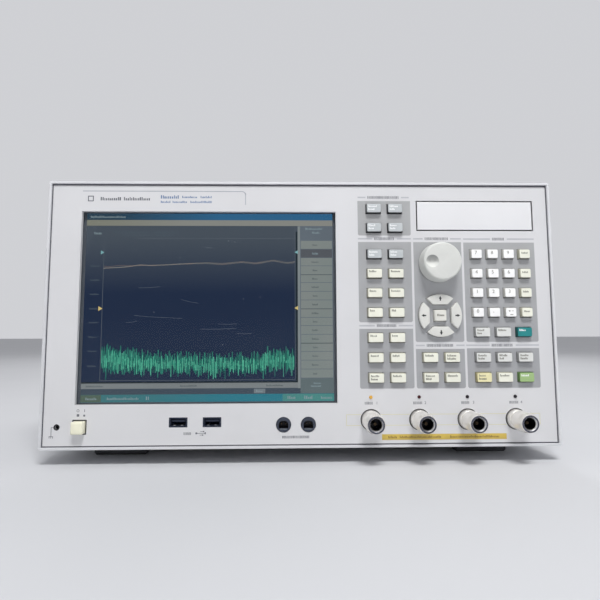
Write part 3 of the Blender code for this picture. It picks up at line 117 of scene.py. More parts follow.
def add_noise(tree, size, detail=3.0):
    """Noise in the object's own space, whose blotches are about this many metres across."""
    place = tree.nodes.new("ShaderNodeTexCoord")
    noise = tree.nodes.new("ShaderNodeTexNoise")
    noise.inputs["Scale"].default_value = 1.0 / size
    noise.inputs["Detail"].default_value = detail
    tree.links.new(place.outputs["Object"], noise.inputs["Vector"])
    return noise.outputs["Fac"]


def spread(tree, value, low, high, into_low=0.0, into_high=1.0):
    """Stretches a value between two limits."""
    node = tree.nodes.new("ShaderNodeMapRange")
    for name, number in (
        ("From Min", low),
        ("From Max", high),
        ("To Min", into_low),
        ("To Max", into_high),
    ):
        node.inputs[name].default_value = number
    tree.links.new(value, node.inputs["Value"])
    return node.outputs["Result"]


def blend_colours(tree, amount, first, second):
    """A colour between two, each a tuple or another node's output."""
    node = tree.nodes.new("ShaderNodeMix")
    node.data_type = "RGBA"
    tree.links.new(amount, node.inputs["Factor"])
    for socket, colour in ((node.inputs["A"], first), (node.inputs["B"], second)):
        if isinstance(colour, tuple):
            socket.default_value = (*colour, 1.0)
        else:
            tree.links.new(colour, socket)
    return node.outputs["Result"]


def scaled(colour, share):
    """A colour made darker or lighter by a share of itself."""
    return tuple(min(1.0, c * share) for c in colour)


def finish_of(
    name, colour, rough, metallic=0.0, mottle=0.04, mottle_size=0.04, grain=0.08, grain_size=0.0006
):
    """A surface with soft blotches of shade and gloss, and a fine grain in its height."""
    made = bpy.data.materials.new(name)
    made.use_nodes = True
    tree = made.node_tree
    shader = tree.nodes["Principled BSDF"]
    shader.inputs["Metallic"].default_value = metallic
    blotches = spread(tree, add_noise(tree, mottle_size), 0.35, 0.65)
    shade = blend_colours(tree, blotches, scaled(colour, 1.0 - mottle), scaled(colour, 1.0 + mottle))
    tree.links.new(shade, shader.inputs["Base Color"])
    gloss = spread(tree, add_noise(tree, mottle_size / 3), 0.3, 0.7, rough * 0.85, min(1.0, rough * 1.15))
    tree.links.new(gloss, shader.inputs["Roughness"])
    bump = tree.nodes.new("ShaderNodeBump")
    bump.inputs["Strength"].default_value = grain
    bump.inputs["Distance"].default_value = 0.0002
    tree.links.new(add_noise(tree, grain_size, 2.0), bump.inputs["Height"])
    tree.links.new(bump.outputs["Normal"], shader.inputs["Normal"])
    return made


floor_paint = finish_of("floor_paint", tone(206, 207, 210), 0.75, mottle=0.01, mottle_size=0.5, grain=0.02)


def start_block(name, low, high):
    """A box between two corners in metres, with its place in its mesh."""
    bpy.ops.object.select_all(action="DESELECT")
    low, high = Vector(low), Vector(high)
    bpy.ops.mesh.primitive_cube_add(size=1.0, location=(low + high) / 2, scale=high - low)
    made = bpy.context.object
    made.name = name
    bpy.ops.object.transform_apply(location=True, rotation=True, scale=True)
    return made


floor = start_block("floor", (-30.0, -30.0, -0.02), (30.0, 30.0, 0.0))
floor.data.materials.append(floor_paint)

# Front frame: a ring of die-cast aluminium, painted pale grey, that holds the panel in its rim.
# Its outer edges are well rounded, and a step at its back takes the sleeve.

HALF = 212.8
BASE = 12.8
HEIGHT = 221.5
RIM_FRONT = -201.35
RIM_WIDTH = 1.9
LEDGE_WIDTH = 9.0
SEAT = -196.55
FRAME_BACK = RIM_FRONT + 28.0


def at(x, y, z):
    """A point in metres from millimetres in the part's own frame."""
    return Vector((x, y, z)) * MM


def only(piece):
    """Makes one piece the active one, selected alone."""
    if bpy.context.object and bpy.context.object.mode != "OBJECT":
        bpy.ops.object.mode_set(mode="OBJECT")
    bpy.ops.object.select_all(action="DESELECT")
    piece.select_set(True)
    bpy.context.view_layer.objects.active = piece


def pick(piece, test, kind="FACE"):
    """Opens a piece in edit mode with only the faces or edges that pass a test selected."""
    only(piece)
    bpy.ops.object.mode_set(mode="EDIT")
    bpy.ops.mesh.select_mode(type=kind)
    bpy.ops.mesh.select_all(action="DESELECT")
    shape = bmesh.from_edit_mesh(piece.data)
    shape.normal_update()
    for item in shape.faces if kind == "FACE" else shape.edges:
        if test(item):
            item.select_set(True)
    bmesh.update_edit_mesh(piece.data)


def close(piece):
    """Leaves edit mode."""
    bpy.ops.object.mode_set(mode="OBJECT")
    return piece


def round_corners(piece, width, segments):
    """Rounds the edges that run from front to back, by a width in millimetres."""
    pick(piece, lambda edge: abs(edge.verts[0].co.y - edge.verts[1].co.y) > MM, "EDGE")
    bpy.ops.mesh.bevel(offset=width * MM, segments=segments)
    return close(piece)


def soften(piece, width, segments=2, angle=30.0):
    """Rounds every edge sharper than an angle, and smooths the shading between them."""
    only(piece)
    bevel = piece.modifiers.new("round edges", "BEVEL")
    bevel.width = width
    bevel.segments = segments
    bevel.limit_method = "ANGLE"
    bevel.angle_limit = math.radians(angle)
    bpy.ops.object.modifier_apply(modifier=bevel.name)
    bpy.ops.object.shade_smooth_by_angle(angle=math.radians(40))
    return piece


def carve(piece, cutter):
    """Cuts one shape from a piece, and removes the shape."""
    only(piece)
    cut = piece.modifiers.new("cut", "BOOLEAN")
    cut.object = cutter
    cut.operation = "DIFFERENCE"
    cut.solver = "EXACT"
    bpy.ops.object.modifier_apply(modifier=cut.name)
    bpy.data.objects.remove(cutter)
    return piece


def fit(piece, material, body="root", stands_for=()):
    """Gives a finished piece its material and its body, and hides the solids that it stands for."""
    if material is not None:
        piece.data.materials.clear()
        piece.data.materials.append(material)
    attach(piece, body)
    if stands_for:
        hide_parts(*stands_for)
    return piece


frame_paint = finish_of("frame_paint", tone(214, 215, 218), 0.42, mottle=0.02, grain=0.12, grain_size=0.0009)

ring = start_block("front_ring", at(-HALF, RIM_FRONT, BASE), at(HALF, FRAME_BACK, BASE + HEIGHT))
round_corners(ring, 1.8, 5)
for name, margin, back in (("pocket", RIM_WIDTH, SEAT), ("opening", LEDGE_WIDTH, FRAME_BACK + 5)):
    low = at(-HALF + margin, RIM_FRONT - 5, BASE + margin)
    high = at(HALF - margin, back, BASE + HEIGHT - margin)
    carve(ring, start_block(name, low, high))
# A shallow parting groove runs round the casting near its back, where the sleeve's edge tucks in.
GROOVE_FRONT = FRAME_BACK - 3.4
GROOVE_BACK = GROOVE_FRONT + 0.9
GROOVE_DEPTH = 0.5
TOP = BASE + HEIGHT
for (left, bottom), (right, top) in (
    ((-HALF - 1, BASE - 1), (-HALF + GROOVE_DEPTH, TOP + 1)),
    ((HALF - GROOVE_DEPTH, BASE - 1), (HALF + 1, TOP + 1)),
    ((-HALF - 1, TOP - GROOVE_DEPTH), (HALF + 1, TOP + 1)),
    ((-HALF - 1, BASE - 1), (HALF + 1, BASE + GROOVE_DEPTH)),
):
    carve(ring, start_block("groove", at(left, GROOVE_FRONT, bottom), at(right, GROOVE_BACK, top)))
soften(ring, 0.45 * MM, 3)
fit(ring, frame_paint, "root", ["front_frame"])

# Front panel: an aluminium plate in satin pale grey, pressed in behind the rim. Grey blocks, rules and
# legends are screen printed on it. Legends are plain marks, and only digits are lettering.

PANEL_FACE = -199.85


def panel(x, z, y=PANEL_FACE):
    """A point in metres from millimetres on the front panel."""
    return at(x - HALF, y, z + BASE)


def panel_block(name, x, z, width, height, front, back):
    """A box centred on a place on the panel, between two depths."""
    low = panel(x - width / 2, z - height / 2, front)
    return start_block(name, low, panel(x + width / 2, z + height / 2, back))


def keep_solid(material, slot, *names):
    """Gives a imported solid, whose shape is right, a better material."""
    for name in names:
        nodes[name].data.materials.clear()
        nodes[name].data.materials.append(material)


panel_paint = finish_of("panel_paint", tone(214, 214, 216), 0.5, mottle=0.016, mottle_size=0.07, grain=0.05)
keep_solid(panel_paint, "panel_paint", "front_panel")


def join(name, pieces):
    """One piece of several."""
    only(pieces[0])
    for piece in pieces[1:]:
        piece.select_set(True)
    bpy.ops.object.join()
    made = bpy.context.object
    made.name = name
    return made


# Dark strips in the gap between the plate and the rim, widest along the top, are painted shade.
painted_gap_shade = finish_of("painted_gap_shade", tone(92, 92, 99), 0.8, mottle=0.08)
GAP_BACK = -196.9
strips = []
for left, bottom, right, top, front in (
    (1.8, 218.2, 423.8, 219.7, -199.99),
    (1.8, 1.8, 2.75, 218.1, -199.95),
    (422.85, 1.8, 423.8, 218.1, -199.95),
    (2.8, 1.8, 422.8, 2.7, -199.9),
):
    strip = start_block("gap_shade_strip", panel(left, bottom, front), panel(right, top, GAP_BACK))
    strips.append(soften(strip, 0.04 * MM, 1))
fit(join("panel_gap_shade", strips), painted_gap_shade)

PRINT_HEIGHT = 0.03

# Each grey block: its left, bottom, right and top.
BLOCKS = (
    (260.0, 175.6, 305.2, 205.6),
    (260.0, 101.9, 305.2, 170.0),
    (260.0, 47.1, 305.2, 96.4),
    (307.1, 85.3, 348.1, 169.9),
    (307.1, 47.0, 348.1, 79.5),
    (350.0, 85.2, 411.0, 169.6),
    (350.0, 47.1, 411.0, 79.9),
)


def shade_graded_colour(name, top, bottom, low, high):
    """A colour that darkens from one height to another as painted shade, with a little wear."""
    made = finish_of(name, top, 0.5, mottle=0.015, mottle_size=0.03, grain=0.04)
    tree = made.node_tree
    shader = tree.nodes["Principled BSDF"]
    place = tree.nodes.new("ShaderNodeTexCoord")
    axes = tree.nodes.new("ShaderNodeSeparateXYZ")
    tree.links.new(place.outputs["Object"], axes.inputs["Vector"])
    grade = spread(tree, axes.outputs["Z"], low, high)
    worn = spread(tree, add_noise(tree, 0.02), 0.3, 0.7, 0.96, 1.04)
    ink = blend_colours(tree, grade, bottom, top)
    shade = tree.nodes.new("ShaderNodeVectorMath")
    shade.operation = "SCALE"
    tree.links.new(ink, shade.inputs[0])
    tree.links.new(worn, shade.inputs["Scale"])
    tree.links.new(shade.outputs["Vector"], shader.inputs["Base Color"])
    return made


# The grey blocks are printed; their darkening towards the bottom is painted shade.
block_ink_with_shade = shade_graded_colour("block_ink_with_shade", tone(171, 172, 173), tone(163, 164, 167), 0.09, 0.21)


CORNER = 1.8


def everything(item):
    """The test that every face or edge passes."""
    return True


def thicken(piece, depth):
    """Gives a flat outline a thickness towards the user, with every face pointing outwards."""
    pick(piece, everything)
    bpy.ops.mesh.extrude_region_move(TRANSFORM_OT_translate={"value": (0, -depth * MM, 0)})
    bpy.ops.mesh.select_all(action="SELECT")
    bpy.ops.mesh.normals_make_consistent(inside=False)
    return close(piece)


def printed_block(name, left, bottom, right, top):
    """The panel's own face inside a rectangle, raised by the thickness of the ink."""
    only(nodes["front_panel"])
    made = nodes["front_panel"].copy()
    made.data = nodes["front_panel"].data.copy()
    for key in list(made.keys()):
        del made[key]
    made.parent = None
    made.name = name
    bpy.context.scene.collection.objects.link(made)
    pick(made, everything)
    bpy.ops.mesh.remove_doubles(threshold=0.002 * MM)
    face_y = PANEL_FACE * MM
    pick(made, lambda face: face.normal.y > -0.9 or abs(face.calc_center_median().y - face_y) > 0.1 * MM)
    bpy.ops.mesh.delete(type="FACE")
    low, high = panel(left, bottom), panel(right, top)
    cuts = [(low, (-1, 0, 0)), (high, (1, 0, 0)), (low, (0, 0, -1)), (high, (0, 0, 1))]
    slant = CORNER * MM * (1 - math.sqrt(0.5)) * 2
    cuts.append((Vector((low.x + slant, low.y, low.z)), (-1, 0, -1)))
    cuts.append((Vector((high.x - slant, low.y, low.z)), (1, 0, -1)))
    for place, outward in cuts:
        bpy.ops.mesh.select_all(action="SELECT")
        bpy.ops.mesh.bisect(plane_co=place, plane_no=outward, clear_outer=True, use_fill=False)
    return thicken(made, PRINT_HEIGHT)


made_blocks = [printed_block(f"print_{i}", *block) for i, block in enumerate(BLOCKS)]
fit(join("key_field_print", made_blocks), block_ink_with_shade)


def flat_marks(name, marks, y=PANEL_FACE, thick=PRINT_HEIGHT):
    """Thin printed marks, each (x, z, width, height) on the panel, as one closed mesh per mark."""
    bpy.ops.object.select_all(action="DESELECT")
    for number, (x, z, width, height) in enumerate(marks):
        middle = panel(x, z, y)
        bpy.ops.mesh.primitive_plane_add(size=MM, location=middle, rotation=(math.pi / 2, 0, 0))
        if number == 0:
            made = bpy.context.object
            made.name = name
            bpy.ops.object.transform_apply(location=True, rotation=True, scale=True)
            bpy.ops.object.mode_set(mode="EDIT")
            bpy.ops.mesh.select_all(action="SELECT")
        bpy.ops.transform.resize(value=(width, 1.0, height), center_override=middle)
    bpy.ops.mesh.select_all(action="SELECT")
    bpy.ops.mesh.normals_make_consistent(inside=False)
    return thicken(made, thick)


def word_marks(x, z, width, height, seed, align="left", capitals=False):
    """Small strokes that fill a legend's place without being letters."""
    chance = random.Random(seed)
    left = x if align == "left" else x - width / 2
    marks = []
    along = 0.0
    first = True
    while along < width - 0.3 * height:
        stroke = height * (chance.uniform(0.18, 0.27) if capitals else chance.uniform(0.26, 0.4))
        tall = height if first or capitals else height * chance.choice((0.62, 0.66, 0.7, 0.96))
        stroke = min(stroke, width - along)
        marks.append((left + along + stroke / 2, z - (height - tall) / 2, stroke, tall))
        along += stroke + height * chance.uniform(0.16, 0.26)
        first = False
    return marks


def words_of(places):
    """The strokes of several words, each (x, z, width, height, seed)."""
    return [mark for place in places for mark in word_marks(*place)]


legend_ink = finish_of("legend_ink", tone(105, 107, 114), 0.6, mottle=0.05, mottle_size=0.004, grain=0.0)
rule_ink = finish_of("rule_ink", tone(184, 185, 190), 0.55, mottle=0.03, mottle_size=0.01, grain=0.0)

# Each label above a block has a word in the middle and a bar on each side of it: the label's left and right
# ends, its height, the word's middle and its width.
LABELS = (
    (260.0, 305.0, 208.7, 282.2, 27.0),
    (260.0, 305.2, 172.8, 282.6, 17.5),
    (260.0, 305.2, 99.0, 283.1, 16.5),
    (307.1, 348.1, 172.8, 327.1, 20.0),
    (307.2, 348.2, 82.4, 327.9, 23.0),
    (350.0, 411.0, 172.6, 380.5, 11.0),
    (349.5, 411.0, 82.4, 380.4, 18.5),
)
LABEL_SIZE = 2.3
RULE_HEIGHT = 1.25
words = []
rules = []
for number, (left, right, height, middle, width) in enumerate(LABELS):
    words += word_marks(middle, height, width, LABEL_SIZE, 40 + number, "centre", True)
    gap = width / 2 + 1.8
    if number == 0:
        left, right = middle - width / 2 - 8.5, middle + width / 2 + 8.5
    rules.append(((left + middle - gap) / 2, height, middle - gap - left, RULE_HEIGHT))
    rules.append(((right + middle + gap) / 2, height, right - middle - gap, RULE_HEIGHT))
PORT_XS = [268.7 + 40.1 * i for i in range(4)]
PORT_LABEL_Z = 35.3
for number, x in enumerate(PORT_XS):
    words += word_marks(x - 1.3, PORT_LABEL_Z, 7.4, 2.2, 60 + number, "centre", True)
words += word_marks(207.0, 8.6, 22.5, 2.1, 70, "centre", True)
words += word_marks(118.9, 12.0, 6.2, 2.1, 71, "centre", True)
fit(flat_marks("panel_legends", words), legend_ink)
fit(flat_marks("block_rules", rules), rule_ink)


def raised_text(name, body, x, z, size, y, thick=0.03):
    """A digit printed on the panel or a key: a text shape made a mesh, then stood up in its place."""
    bpy.ops.object.select_all(action="DESELECT")
    bpy.ops.object.text_add(location=panel(x, z, y), rotation=(math.pi / 2, 0, 0))
    made = bpy.context.object
    made.name = name
    made.data.body = body
    made.data.size = size * MM
    made.data.extrude = thick * MM
    made.data.resolution_u = 3
    made.data.align_x = "CENTER"
    made.data.align_y = "CENTER"
    bpy.ops.object.convert(target="MESH")
    made = bpy.context.object
    bpy.ops.object.transform_apply(location=True, rotation=True, scale=True)
    pick(made, everything)
    bpy.ops.mesh.remove_doubles(threshold=0.001 * MM)
    bpy.ops.mesh.normals_make_consistent(inside=False)
    return close(made)


port_digits = []
for i, x in enumerate(PORT_XS):
    port_digits.append(raised_text(f"digit_{i}", str(i + 1), x + 5.0, PORT_LABEL_Z, 3.2, PANEL_FACE))
fit(join("port_numbers", port_digits), legend_ink)

# Nameplate: a fine printed line over the display with a rounded end, a plain square badge, and plain
# marks in dark grey and in blue where a maker prints its name and the model's.

blue_ink = finish_of("blue_ink", tone(92, 120, 160), 0.5, mottle=0.04, mottle_size=0.006, grain=0.0)
plate_ink = finish_of("plate_ink", tone(84, 88, 98), 0.5, mottle=0.05, mottle_size=0.006, grain=0.0)
pale_ink = finish_of("pale_ink", tone(166, 169, 178), 0.5, mottle=0.03, mottle_size=0.01, grain=0.0)
outline = [(94.5, 213.5, 134.0, 0.7), (164.6, 207.0, 0.6, 10.4)]
CORNER_STEPS = 6
for i in range(CORNER_STEPS):
    angle = math.radians(90 * (i + 0.5) / CORNER_STEPS)
    outline.append((161.5 + 3.1 * math.sin(angle), 210.3 + 3.2 * math.cos(angle), 0.9, 0.7))
fit(flat_marks("nameplate_line", outline), pale_ink)
plate = words_of(((42.5, 206.9, 17.5, 2.9, 81), (62.0, 206.9, 23.0, 2.9, 82)))
fit(flat_marks("nameplate_marks", plate), plate_ink)
MODEL_WORDS = (
    (93.0, 208.6, 15.0, 2.9, 83),
    (111.0, 208.6, 13.0, 2.0, 84),
    (126.5, 208.6, 10.0, 2.0, 85),
    (93.0, 204.3, 8.0, 1.9, 86),
    (103.0, 204.3, 12.0, 1.9, 87),
    (118.0, 204.3, 18.0, 1.9, 88),
)
fit(flat_marks("model_marks", words_of(MODEL_WORDS)), blue_ink)
BADGE_X, BADGE_Z = 34.3, 207.0
badge = panel_block("plain_badge", BADGE_X, BADGE_Z, 4.8, 4.8, PANEL_FACE - PRINT_HEIGHT, PANEL_FACE)
carve(badge, panel_block("badge_hole", BADGE_X, BADGE_Z, 3.4, 3.4, -201.0, -199.0))
fit(badge, plate_ink)

# Static zone: a thin pale yellow line printed round the test ports, broken where they stand, and a strip
# of mustard vinyl with plain marks, stuck on below them.

outline_ink = finish_of("outline_ink", tone(214, 210, 172), 0.5, mottle=0.04, mottle_size=0.01, grain=0.0)
zone = [(328.7, 26.1, 161.0, 0.4), (328.7, 17.4, 161.0, 0.4)]
zone += [(248.4, 21.75, 0.4, 8.7), (409.0, 21.75, 0.4, 8.7)]
ringed = flat_marks("static_zone_outline", zone)
for x in PORT_XS:
    bpy.ops.object.select_all(action="DESELECT")
    bpy.ops.mesh.primitive_cylinder_add(
        vertices=40, radius=9.2 * MM, depth=2 * MM, location=panel(x, 21.8), rotation=(math.pi / 2, 0, 0)
    )
    hole = bpy.context.object
    bpy.ops.object.transform_apply(location=True, rotation=True, scale=True)
    carve(ringed, hole)
fit(ringed, outline_ink)
strip_vinyl = finish_of("strip_vinyl", tone(203, 176, 84), 0.45, mottle=0.08, mottle_size=0.012, grain=0.06)
STRIP_Z, STRIP_FACE = 7.9, -199.97
strip = panel_block("mustard_strip", 328.95, STRIP_Z, 103.1, 4.6, STRIP_FACE, PANEL_FACE)
soften(strip, 0.05 * MM, 2)
fit(strip, strip_vinyl)
strip_marks = words_of(
    ((282.5, STRIP_Z, 8.0, 2.0, 90), (292.0, STRIP_Z, 34.0, 1.9, 91), (333.5, STRIP_Z, 41.0, 1.9, 92))
)
strip_ink = finish_of("strip_ink", tone(132, 108, 58), 0.5, mottle=0.1, mottle_size=0.006, grain=0.0)
fit(flat_marks("strip_marks", strip_marks, STRIP_FACE, 0.02), strip_ink)

# Signs: a ring and a bar by the standby button, a ground sign by the jack and a plain arrow by the data
# sockets, all printed on the panel in the same dark grey ink as the labels.


def circle(name, place, radius, sides=32, turn=0.0):
    """A flat round or regular outline that faces the user, its size in millimetres."""
    bpy.ops.object.select_all(action="DESELECT")
    bpy.ops.mesh.primitive_circle_add(
        vertices=sides, radius=radius * MM, fill_type="NGON", location=place, rotation=(math.pi / 2, turn, 0)
    )
    made = bpy.context.object
    made.name = name
    bpy.ops.object.transform_apply(location=True, rotation=True, scale=True)
    return made


def disc(name, x, z, radius, y, thick, sides=32):
    """A thin printed or stuck-on disc that faces the user, with a softened rim."""
    made = circle(name, panel(x, z, y), radius, sides)
    pick(made, everything)
    bpy.ops.mesh.extrude_region_move(TRANSFORM_OT_translate={"value": (0, -thick * 0.6 * MM, 0)})
    bpy.ops.mesh.extrude_region_move(TRANSFORM_OT_translate={"value": (0, -thick * 0.4 * MM, 0)})
    share = 1.0 - min(0.2, thick * 0.6 / radius)
    bpy.ops.transform.resize(value=(share, 1.0, share), center_override=panel(x, z, y))
    bpy.ops.mesh.select_all(action="SELECT")
    bpy.ops.mesh.normals_make_consistent(inside=False)
    return close(made)


ring_mark = disc("ring_mark", 30.3, 30.9, 1.15, PANEL_FACE, PRINT_HEIGHT, 20)
carve(ring_mark, disc("hollow", 30.3, 30.9, 0.8, PANEL_FACE + 1, 3.0, 20))
switch_signs = [(35.6, 30.9, 0.45, 2.3), (30.4, 27.2, 2.0, 2.0), (35.4, 27.0, 1.5, 1.5)]
ground_sign = [(9.4, 14.3, 0.45, 7.6), (9.4, 10.5, 3.6, 0.45), (11.0, 17.8, 2.4, 0.4)]
ground_sign += [(x, 9.7, 0.4, 1.3) for x in (8.0, 9.4, 10.8)]
socket_sign = [(129.5, 12.2, 6.5, 0.4), (130.5, 13.6, 2.6, 0.4), (130.0, 10.8, 2.6, 0.4)]
socket_sign += [(131.9, 13.6, 1.0, 1.0), (126.0, 12.2, 1.4, 1.4), (131.2, 10.8, 1.0, 1.0)]
socket_sign += [(133.2, 12.2, 1.0, 1.6)]
signs = switch_signs + ground_sign + socket_sign
fit(join("panel_signs", [flat_marks("signs", signs), ring_mark]), legend_ink)

# Display: a touch glass against the back of the panel, over a colour display module. The picture shows a
# trace near the top and a band of noise below, with a column of menu keys. All its wording is plain marks.


def glow_of(name, colour, other=None, size=0.05, grade=None):
    """A lit part of the picture: two shades in soft blotches, or graded along an axis between two limits."""
    made = bpy.data.materials.new(name)
    made.use_nodes = True
    tree = made.node_tree
    shader = tree.nodes["Principled BSDF"]
    shader.inputs["Base Color"].default_value = (0.0, 0.0, 0.0, 1.0)
    shader.inputs["Roughness"].default_value = 0.25
    shader.inputs["Specular IOR Level"].default_value = 0.2
    shader.inputs["Emission Strength"].default_value = 1.0
    if grade:
        axis, low, high = grade
        place = tree.nodes.new("ShaderNodeTexCoord")
        axes = tree.nodes.new("ShaderNodeSeparateXYZ")
        tree.links.new(place.outputs["Object"], axes.inputs["Vector"])
        amount = spread(tree, axes.outputs[axis], low, high)
    else:
        amount = spread(tree, add_noise(tree, size, 2.0), 0.3, 0.7)
    second = other or scaled(colour, 0.9)
    tree.links.new(blend_colours(tree, amount, second, colour), shader.inputs["Emission Color"])
    return made


glass = bpy.data.materials.new("touch_glass")
glass.use_nodes = True
glass_tree = glass.node_tree
glass_shader = glass_tree.nodes["Principled BSDF"]
glass_shader.inputs["Base Color"].default_value = (0.24, 0.26, 0.28, 1.0)
glass_shader.inputs["Metallic"].default_value = 1.0
glass_shader.inputs["Alpha"].default_value = 0.02
glass_shader.inputs["IOR"].default_value = 1.45
smears = spread(glass_tree, add_noise(glass_tree, 0.03), 0.4, 0.75, 0.04, 0.12)
glass_tree.links.new(smears, glass_shader.inputs["Roughness"])

GLASS_FACE = -196.5
window = start_block("touch_glass", panel(24.0, 31.8, GLASS_FACE), panel(244.5, 199.7, -195.4))
soften(window, 0.2 * MM, 2)
fit(window, glass, "root", ["display_window"])

sheet_steel = finish_of("bright_sheet", tone(190, 190, 192), 0.32, metallic=0.9, mottle=0.03, grain=0.05)
keep_solid(sheet_steel, "bright_sheet", "display_module")

# The module's dark frame stands just proud of its picture, all round it.
LEFT, BOTTOM, RIGHT, TOP_EDGE = 29.3, 36.6, 238.9, 195.6
bezel_plastic = finish_of("bezel_plastic", tone(74, 80, 88), 0.6, mottle=0.05, grain=0.08)
bezel = start_block("picture_bezel", panel(22.0, 29.5, -195.05), panel(246.4, 202.0, -194.5))
carve(bezel, start_block("window_hole", panel(LEFT, BOTTOM, -196), panel(RIGHT, TOP_EDGE, -193)))
soften(bezel, 0.12 * MM, 2)
fit(bezel, bezel_plastic)

# The picture is built of thin lit plates, each a layer nearer to the user than the one that it lies on.
PLATE = -194.6
LAYER = 0.035


def lit_marks(name, marks, material, layer):
    """Lit marks, each (x, z, width, height), on a layer of the picture."""
    return fit(flat_marks(name, marks, PLATE - LAYER * layer, 0.03), material)


def lit_plate(name, material, layer, *tiles):
    """Lit rectangles, each (left, bottom, right, top), on a layer of the picture."""
    marks = []
    for left, low, right, high in tiles:
        marks.append(((left + right) / 2, (low + high) / 2, right - left, high - low))
    return lit_marks(name, marks, material, layer)


KEY_COLUMN = 208.8
# The graph is paler and greyer towards its top: a painted reflection of the room on the glass.
graph_glow_and_reflection = glow_of("graph_dark_and_reflection", tone(70, 79, 89), tone(29, 42, 66), grade=("Z", 0.140, 0.190))
lit_plate("graph_plate", graph_glow_and_reflection, 0, (LEFT, 52.0, KEY_COLUMN, 185.0))
title_glow = glow_of("title_bar", tone(44, 96, 134), tone(40, 62, 78), grade=("X", -0.16, -0.07))
lit_plate("title_bar", title_glow, 0, (LEFT, 190.0, RIGHT, TOP_EDGE))
menu_glow = glow_of("menu_bar", tone(131, 133, 128), tone(122, 124, 112), grade=("X", -0.18, -0.1))
lit_plate("menu_bar", menu_glow, 0, (LEFT, 185.0, RIGHT, 190.0))
header_glow = glow_of("softkey_header", tone(98, 108, 117))
lit_plate("softkey_column", header_glow, 0, (KEY_COLUMN, 52.2, RIGHT, 185.0))
lit_plate("softkey_edge", glow_of("softkey_edge", tone(128, 136, 138)), 1, (208.9, 47.3, 210.9, 184.6))

# Sixteen menu keys stand in a column; the second is the one picked, and three dark lines part them.
SOFTKEY_EDGES = (172.2, 164.8, 157.3, 150.3, 142.7, 135.9, 128.4, 121.0, 113.5)
SOFTKEY_EDGES += (106.2, 99.3, 91.9, 84.6, 77.6, 70.3, 62.9, 55.5)
KEY_LEFT, KEY_RIGHT = 211.5, 238.3
PICKED = 1
softkeys = []
for number, (top, bottom) in enumerate(zip(SOFTKEY_EDGES, SOFTKEY_EDGES[1:])):
    if number != PICKED:
        softkeys.append((KEY_LEFT, bottom + 0.35, KEY_RIGHT, top - 0.1))
lit_plate("softkeys", glow_of("softkeys", tone(126, 133, 131), tone(120, 130, 128), 0.03), 1, *softkeys)
picked_glow = glow_of("softkey_picked", tone(84, 88, 94))
lit_plate("softkey_picked", picked_glow, 1, (KEY_LEFT, 157.5, KEY_RIGHT, 164.7))
parting = [(KEY_LEFT, low, KEY_RIGHT, high) for low, high in ((142.5, 142.9), (113.3, 113.7), (84.3, 84.8))]
lit_plate("softkey_lines", glow_of("softkey_lines", tone(72, 78, 80)), 2, *parting)
lit_plate("softkey_empty", glow_of("softkey_empty", tone(94, 107, 110)), 1, (210.9, 43.0, RIGHT, 55.3))

# Bars under the graph: a status line, a dark bar with a tab, and a task bar with a key and a tray.
lit_plate("status_bar", glow_of("status_bar", tone(122, 129, 131)), 0, (LEFT, 47.6, 209.0, 52.0))
lit_plate("dark_bar", glow_of("dark_bar", tone(64, 76, 88)), 0, (LEFT, 42.8, RIGHT, 47.6))
task_glow = glow_of("task_bar", tone(42, 115, 132), tone(58, 112, 118), grade=("X", -0.14, -0.06))
lit_plate("task_bar", task_glow, 0, (LEFT, BOTTOM, RIGHT, 42.8))
lit_plate("start_key", glow_of("start_key", tone(80, 98, 86)), 1, (LEFT, 36.8, 46.0, 42.6))
lit_plate("tray", glow_of("tray", tone(72, 134, 130)), 1, (196.0, 36.8, 238.7, 42.6))
lit_plate("tab", glow_of("tab", tone(112, 122, 128)), 1, (172.0, 43.4, 181.5, 47.0))

# Fine lines: the graph's edges and divisions, and the dark line under it.
grid = [(44.4, 54.4, 44.8, 173.6), (206.4, 54.4, 206.8, 184.0), (72.0, 173.9, 206.4, 174.3)]
grid += [(44.6, 54.2, 206.6, 54.6)]
lit_plate("grid_lines", glow_of("grid_lines", tone(86, 95, 104)), 2, *grid)
shade = [(LEFT, 52.0, KEY_COLUMN, 53.4), (207.2, 53.4, 208.7, 180.0)]
lit_plate("graph_shade", glow_of("graph_shade", tone(34, 44, 50)), 2, *shade)

# Plain marks where the picture has its wording, each (x, z, width, height, seed).
PALE_WORDS = (
    (32.5, 192.7, 30.0, 1.9, 101),
    (36.0, 178.6, 6.5, 2.4, 102),
    (33.5, 39.6, 9.0, 2.1, 104),
    (51.0, 39.6, 26.0, 2.0, 105),
    (83.0, 39.8, 3.6, 2.8, 106),
    (200.0, 39.7, 6.5, 2.6, 107),
    (214.0, 39.7, 7.5, 2.8, 108),
    (228.0, 39.5, 9.0, 2.2, 109),
    (174.0, 45.2, 6.0, 2.0, 110),
    (215.5, 182.6, 15.0, 1.8, 111),
    (221.5, 179.2, 6.0, 1.9, 112),
    (221.5, 161.1, 5.0, 1.9, 113),
    (222.0, 51.4, 6.0, 1.6, 114),
    (220.0, 49.0, 8.0, 1.6, 115),
)
lit_marks("picture_pale_marks", words_of(PALE_WORDS), glow_of("pale_marks", tone(128, 146, 152)), 3)
faint_words = [(53.0, 179.4, 30.0, 1.6, 120), (86.0, 179.4, 22.0, 1.8, 121)]
faint_words += [(60.0, 176.9, 26.0, 1.4, 122), (88.0, 176.9, 16.0, 1.5, 123)]
for number, height in enumerate((150.4, 138.4, 126.4, 114.2, 102.6, 90.5, 78.8)):
    faint_words.append((34.0, height, 7.2, 1.5, 130 + number))
faint_words.append((34.0, 66.4, 7.6, 1.7, 140))
lit_marks("picture_faint_marks", words_of(faint_words), glow_of("faint_marks", tone(76, 88, 98)), 3)
dull_words = [(33.5, 49.8, 14.5, 1.6, 150), (111.0, 49.8, 13.5, 1.6, 151), (182.5, 49.8, 14.0, 1.6, 152)]
